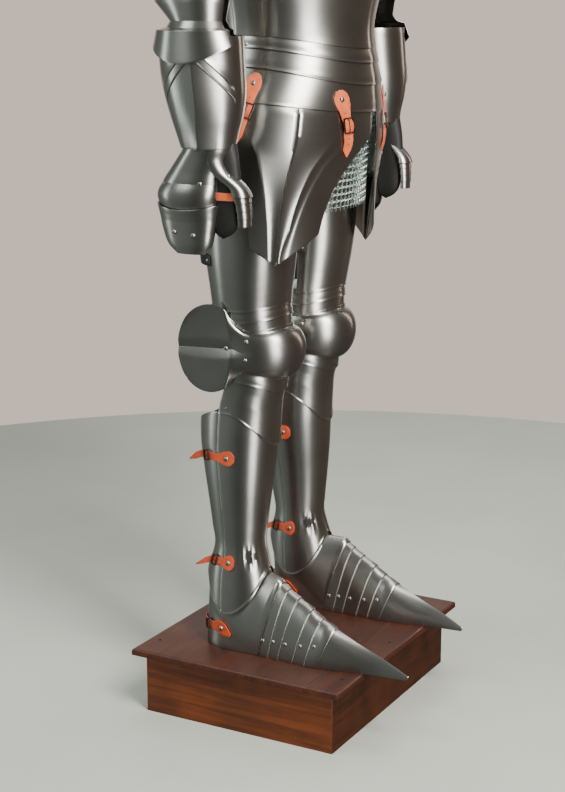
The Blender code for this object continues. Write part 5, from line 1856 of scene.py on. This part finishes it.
def make_hand(side):
    """The glove and the plates over the back of the hand, the fingers and the thumb."""
    around = degrees_between(0, 360, 60)
    rows = [level(z, -(LEATHER + GAP + GLOVE_EASE)) for z in GLOVE_LEVELS]
    options = {"finish": "black_leather", "wall": LEATHER, "closed": True}
    ring_plate(side_name("glove", side), HAND, around, rows, side, **options)

    back = degrees_between(0, 180, 45)
    rows = [level(z) for z in FINGER_LEVELS]
    rows += [level(FINGER_LAP_LOW, STEP), level(FINGER_LAP_TOP, STEP + FINGER_FLARE)]

    def finger_place(angle, row):
        z = row.front - KNUCKLE_ARC * arc_share(row.front) * sin(angle) ** 2
        return ring_point(HAND, z, angle, row.offset)

    plate(side_name("finger_plate", side), back, finer(rows, 0.003), finger_place, side=side)

    def knuckle_place(angle, z):
        part = clamp((z - KNUCKLE_LOW) / (KNUCKLE_TOP - KNUCKLE_LOW))
        bulge = KNUCKLE_HIGH * sin(pi * part) ** 1.3 * max(0.0, sin(angle)) ** 0.5
        return ring_point(HAND, z - KNUCKLE_ARC * arc_share(z) * sin(angle) ** 2, angle, bulge)

    heights = finer([FINGER_LAP_LOW, FINGER_LAP_TOP, HAND_LAP[1]], 0.0024)
    plate(side_name("knuckle_plate", side), back, heights, knuckle_place, side=side)
    rows = [level(z, STEP) for z in HAND_LAP] + [level(z) for z in HAND_LEVELS]
    ring_plate(side_name("hand_plate", side), HAND, back, rows, side)

    columns = steps(0, 1, 24)
    heights = finer(THUMB_PLATE_LEVELS, 0.003)

    def thumb_place(column, z):
        palm = ring_point(HAND, z, pi / 3 * column, STEP)
        flare = THUMB_FLARE * max(0.0, 1 - (z - THUMB_PLATE_LEVELS[0]) / THUMB_PLATE_LIP)
        thumb = ring_point(THUMB, z, radians(THUMB_START + THUMB_SPREAD * column), flare)
        share = clamp((THUMB_TOP - z) / (THUMB_TOP - THUMB_LOW))
        return palm.lerp(thumb, share * share * (3 - 2 * share))

    plate(side_name("thumb_plate", side), columns, heights, thumb_place, side=side)

    # The glove's web fills the gap between the palm and the thumb
    rows = [level(z) for z in WEB_LEVELS]
    ring_plate(None, WEB, around, rows, side, name=side_name("thumb_web", side), **options)
    rows = [level(z, LEATHER + GAP) for z in THUMB_STRAP_EDGES]
    options = {"finish": "hip_leather", "wall": LEATHER, "name": side_name("thumb_strap", side)}
    ring_plate(None, WEB, degrees_between(10, 170, 32), rows, side, **options)

    def scale_place(column, row):
        return ring_point(THUMB, row.front, radians(THUMB_START + THUMB_SPREAD * column), row.offset)

    for number in range(4):
        low = SCALE_LOW + SCALE_PITCH * number
        rows = finer([level(low, SCALE_OUT), level(low + SCALE_TALL, SCALE_IN)], 0.003)
        name = side_name(f"thumb_scale_{number + 1}", side)
        plate(None, columns, rows, scale_place, side=side, wall=SCALE_WALL, name=name)

    def back_surface(angle, z):
        return ring_point(HAND, z, radians(angle), WALL + STEP / 2)

    def wrist_surface(angle, z):
        return ring_point(CUFF, z, radians(angle), WALL)

    seats = [seat(back_surface, rivet.u, rivet.v, side) for rivet in HAND_RIVETS]
    seats += [seat(wrist_surface, rivet.u, rivet.v, side) for rivet in WRIST_RIVETS]
    point, facing, along = seat(thumb_place, *THUMB_RIVET, side)
    seats.append((point + facing * WALL, facing, along))
    rivets(side_name("hand_rivets", side), seats)


def make_stage():
    """A pale floor, soft studio lights, a dim room to reflect, and the camera."""
    bm = bmesh.new()
    bmesh.ops.create_circle(bm, cap_ends=True, segments=96, radius=FLOOR_RADIUS)
    mesh = bpy.data.meshes.new("studio_floor")
    bm.to_mesh(mesh)
    bm.free()
    mesh.materials.append(matt_paint("Pale studio floor", srgb("#C9CCC2")))
    floor = bpy.data.objects.new("studio_floor", mesh)
    bpy.context.scene.collection.objects.link(floor)
    # Polished plates would mirror the floor more than the photographed ones do
    floor.visible_glossy = False

    for box in SOFTBOXES:
        data = bpy.data.lights.new(box.name + "_softbox", "AREA")
        data.shape = "RECTANGLE"
        data.size = box.wide
        data.size_y = box.tall
        data.energy = box.power
        data.color = srgb(box.tint)
        light = bpy.data.objects.new(box.name + "_softbox", data)
        bpy.context.scene.collection.objects.link(light)
        angle = radians(CAMERA_TURN + box.turn)
        up = radians(box.tilt)
        away = Vector((sin(angle) * cos(up), -cos(angle) * cos(up), sin(up)))
        light.location = Vector(STAGE_MIDDLE) + away * box.distance
        light.rotation_euler = away.to_track_quat("Z", "Y").to_euler()
        light.visible_camera = False

    world = bpy.data.worlds.new("Studio room")
    bpy.context.scene.world = world
    world.use_nodes = True
    tree = world.node_tree
    coords = add_node(tree, "ShaderNodeTexCoord")
    turn = radians(CAMERA_TURN)
    beyond = (-sin(turn), cos(turn), 0.1)
    leftward = (-cos(turn), -sin(turn), 0.0)
    colour = (*srgb("#525552"), 1.0)
    for way, low, high, code in (
        (leftward, 0.3, 0.98, "#8B928E"),
        (tuple(-value for value in leftward), 0.35, 0.95, "#685E56"),
        (beyond, 0.80, 0.94, "#E6D6C9"),
        ((0, 0, 1), 0.45, 0.98, "#8F9190"),
    ):
        facing = add_node(tree, "ShaderNodeVectorMath", {"operation": "DOT_PRODUCT", 1: way})
        tree.links.new(coords.outputs["Generated"], facing.inputs[0])
        span = {"From Min": low, "From Max": high}
        share = add_node(tree, "ShaderNodeMapRange", span, {"Value": facing.outputs["Value"]})
        mixed = add_node(tree, "ShaderNodeMix", {"data_type": "RGBA", 7: (*srgb(code), 1.0)})
        tree.links.new(share.outputs["Result"], mixed.inputs[0])
        if isinstance(colour, tuple):
            mixed.inputs[6].default_value = colour
        else:
            tree.links.new(colour, mixed.inputs[6])
        colour = mixed.outputs[2]
    # The room is shaded for the steel to mirror, and shows itself as one plain pale colour.
    seen = add_node(tree, "ShaderNodeLightPath")
    plain = add_node(tree, "ShaderNodeMix", {"data_type": "RGBA", 7: (*srgb("#E6D6C9"), 1.0)})
    tree.links.new(seen.outputs["Is Camera Ray"], plain.inputs[0])
    tree.links.new(colour, plain.inputs[6])
    back = tree.nodes["Background"]
    tree.links.new(plain.outputs[2], back.inputs["Color"])
    back.inputs["Strength"].default_value = 1.0

    data = bpy.data.cameras.new("camera")
    data.sensor_fit = "VERTICAL"
    data.sensor_height = 36
    data.lens = CAMERA_LENS
    camera = bpy.data.objects.new("camera", data)
    camera.location = CAMERA_PLACE
    camera.rotation_euler = (radians(90 - CAMERA_TILT), 0, radians(CAMERA_TURN))
    bpy.context.scene.collection.objects.link(camera)
    bpy.context.scene.camera = camera


class PlinthOperator(bpy.types.Operator):
    """Build the moulded board and the box that the suit stands on"""

    bl_idname = "armour.plinth"
    bl_label = "Plinth"

    def execute(self, context):
        make_plinth()
        return {"FINISHED"}


class SabatonsOperator(bpy.types.Operator):
    """Build the foot armour with its lames, toes and heel straps"""

    bl_idname = "armour.sabatons"
    bl_label = "Sabatons"

    def execute(self, context):
        for side in (-1, 1):
            make_sabaton(side)
        return {"FINISHED"}


class GreavesOperator(bpy.types.Operator):
    """Build the shin and calf plates with their straps and buckles"""

    bl_idname = "armour.greaves"
    bl_label = "Greaves"

    def execute(self, context):
        for side in (-1, 1):
            make_greave(side)
        return {"FINISHED"}


class KneesOperator(bpy.types.Operator):
    """Build the poleyns with their fan wings and lames"""

    bl_idname = "armour.knees"
    bl_label = "Knees"

    def execute(self, context):
        for side in (-1, 1):
            make_knee(side)
        return {"FINISHED"}


class CuissesOperator(bpy.types.Operator):
    """Build the thigh plates"""

    bl_idname = "armour.cuisses"
    bl_label = "Cuisses"

    def execute(self, context):
        for side in (-1, 1):
            make_cuisse(side)
        return {"FINISHED"}


class FauldOperator(bpy.types.Operator):
    """Build the three hoops over the hips"""

    bl_idname = "armour.fauld"
    bl_label = "Fauld"

    def execute(self, context):
        make_fauld()
        return {"FINISHED"}


class TassetsOperator(bpy.types.Operator):
    """Build the fluted tassets and the straps that they hang by"""

    bl_idname = "armour.tassets"
    bl_label = "Tassets"

    def execute(self, context):
        for side in (-1, 1):
            make_tasset(side)
        return {"FINISHED"}


class MailOperator(bpy.types.Operator):
    """Build the skirt of linked rings"""

    bl_idname = "armour.mail"
    bl_label = "Mail skirt"

    def execute(self, context):
        make_mail()
        return {"FINISHED"}


class CuirassOperator(bpy.types.Operator):
    """Build the breastplate and the backplate"""

    bl_idname = "armour.cuirass"
    bl_label = "Cuirass"

    def execute(self, context):
        make_cuirass()
        return {"FINISHED"}


class HelmetOperator(bpy.types.Operator):
    """Build the bevor and the sallet"""

    bl_idname = "armour.helmet"
    bl_label = "Helmet"

    def execute(self, context):
        make_head()
        return {"FINISHED"}


class ArmsOperator(bpy.types.Operator):
    """Build the pauldrons, the upper arms, the elbows and the cuffs"""

    bl_idname = "armour.arms"
    bl_label = "Arms"

    def execute(self, context):
        for side in (-1, 1):
            make_arm(side)
        return {"FINISHED"}


class HandsOperator(bpy.types.Operator):
    """Build the gloves and the plates over the hands"""

    bl_idname = "armour.hands"
    bl_label = "Hands"

    def execute(self, context):
        for side in (-1, 1):
            make_hand(side)
        return {"FINISHED"}


class StageOperator(bpy.types.Operator):
    """Set up the floor, the lights, the room and the camera"""

    bl_idname = "armour.stage"
    bl_label = "Stage"

    def execute(self, context):
        make_stage()
        return {"FINISHED"}


OPERATORS = (
    PlinthOperator,
    SabatonsOperator,
    GreavesOperator,
    KneesOperator,
    CuissesOperator,
    FauldOperator,
    TassetsOperator,
    MailOperator,
    CuirassOperator,
    HelmetOperator,
    ArmsOperator,
    HandsOperator,
    StageOperator,
)


class ArmourPanel(bpy.types.Panel):
    """Lists the suit's pieces, finishes and sizes"""

    bl_idname = "VIEW3D_PT_armour"
    bl_label = "Suit of plate armour"
    bl_space_type = "VIEW_3D"
    bl_region_type = "UI"
    bl_category = "Armour"

    def draw(self, context):
        layout = self.layout
        for group in (context.scene.suit_finish, context.scene.suit_sizes):
            for name in group.__annotations__:
                layout.prop(group, name)
        for operator in OPERATORS:
            layout.operator(operator.bl_idname)


CLASSES = (SuitFinish, SuitSizes, *OPERATORS, ArmourPanel)


def register():
    """Add the classes and the scene's settings."""
    for item in CLASSES:
        bpy.utils.register_class(item)
    bpy.types.Scene.suit_finish = PointerProperty(type=SuitFinish)
    bpy.types.Scene.suit_sizes = PointerProperty(type=SuitSizes)


def unregister():
    """Take the scene's settings and the classes away."""
    del bpy.types.Scene.suit_sizes
    del bpy.types.Scene.suit_finish
    for item in reversed(CLASSES):
        bpy.utils.unregister_class(item)


def main():
    """Build every piece in order."""
    register()
    bpy.ops.armour.plinth()
    bpy.ops.armour.sabatons()
    bpy.ops.armour.greaves()
    bpy.ops.armour.knees()
    bpy.ops.armour.cuisses()
    bpy.ops.armour.fauld()
    bpy.ops.armour.tassets()
    bpy.ops.armour.mail()
    bpy.ops.armour.cuirass()
    bpy.ops.armour.helmet()
    bpy.ops.armour.arms()
    bpy.ops.armour.hands()
    bpy.ops.armour.stage()
    bpy.context.view_layer.update()


if __name__ == "__main__":
    main()
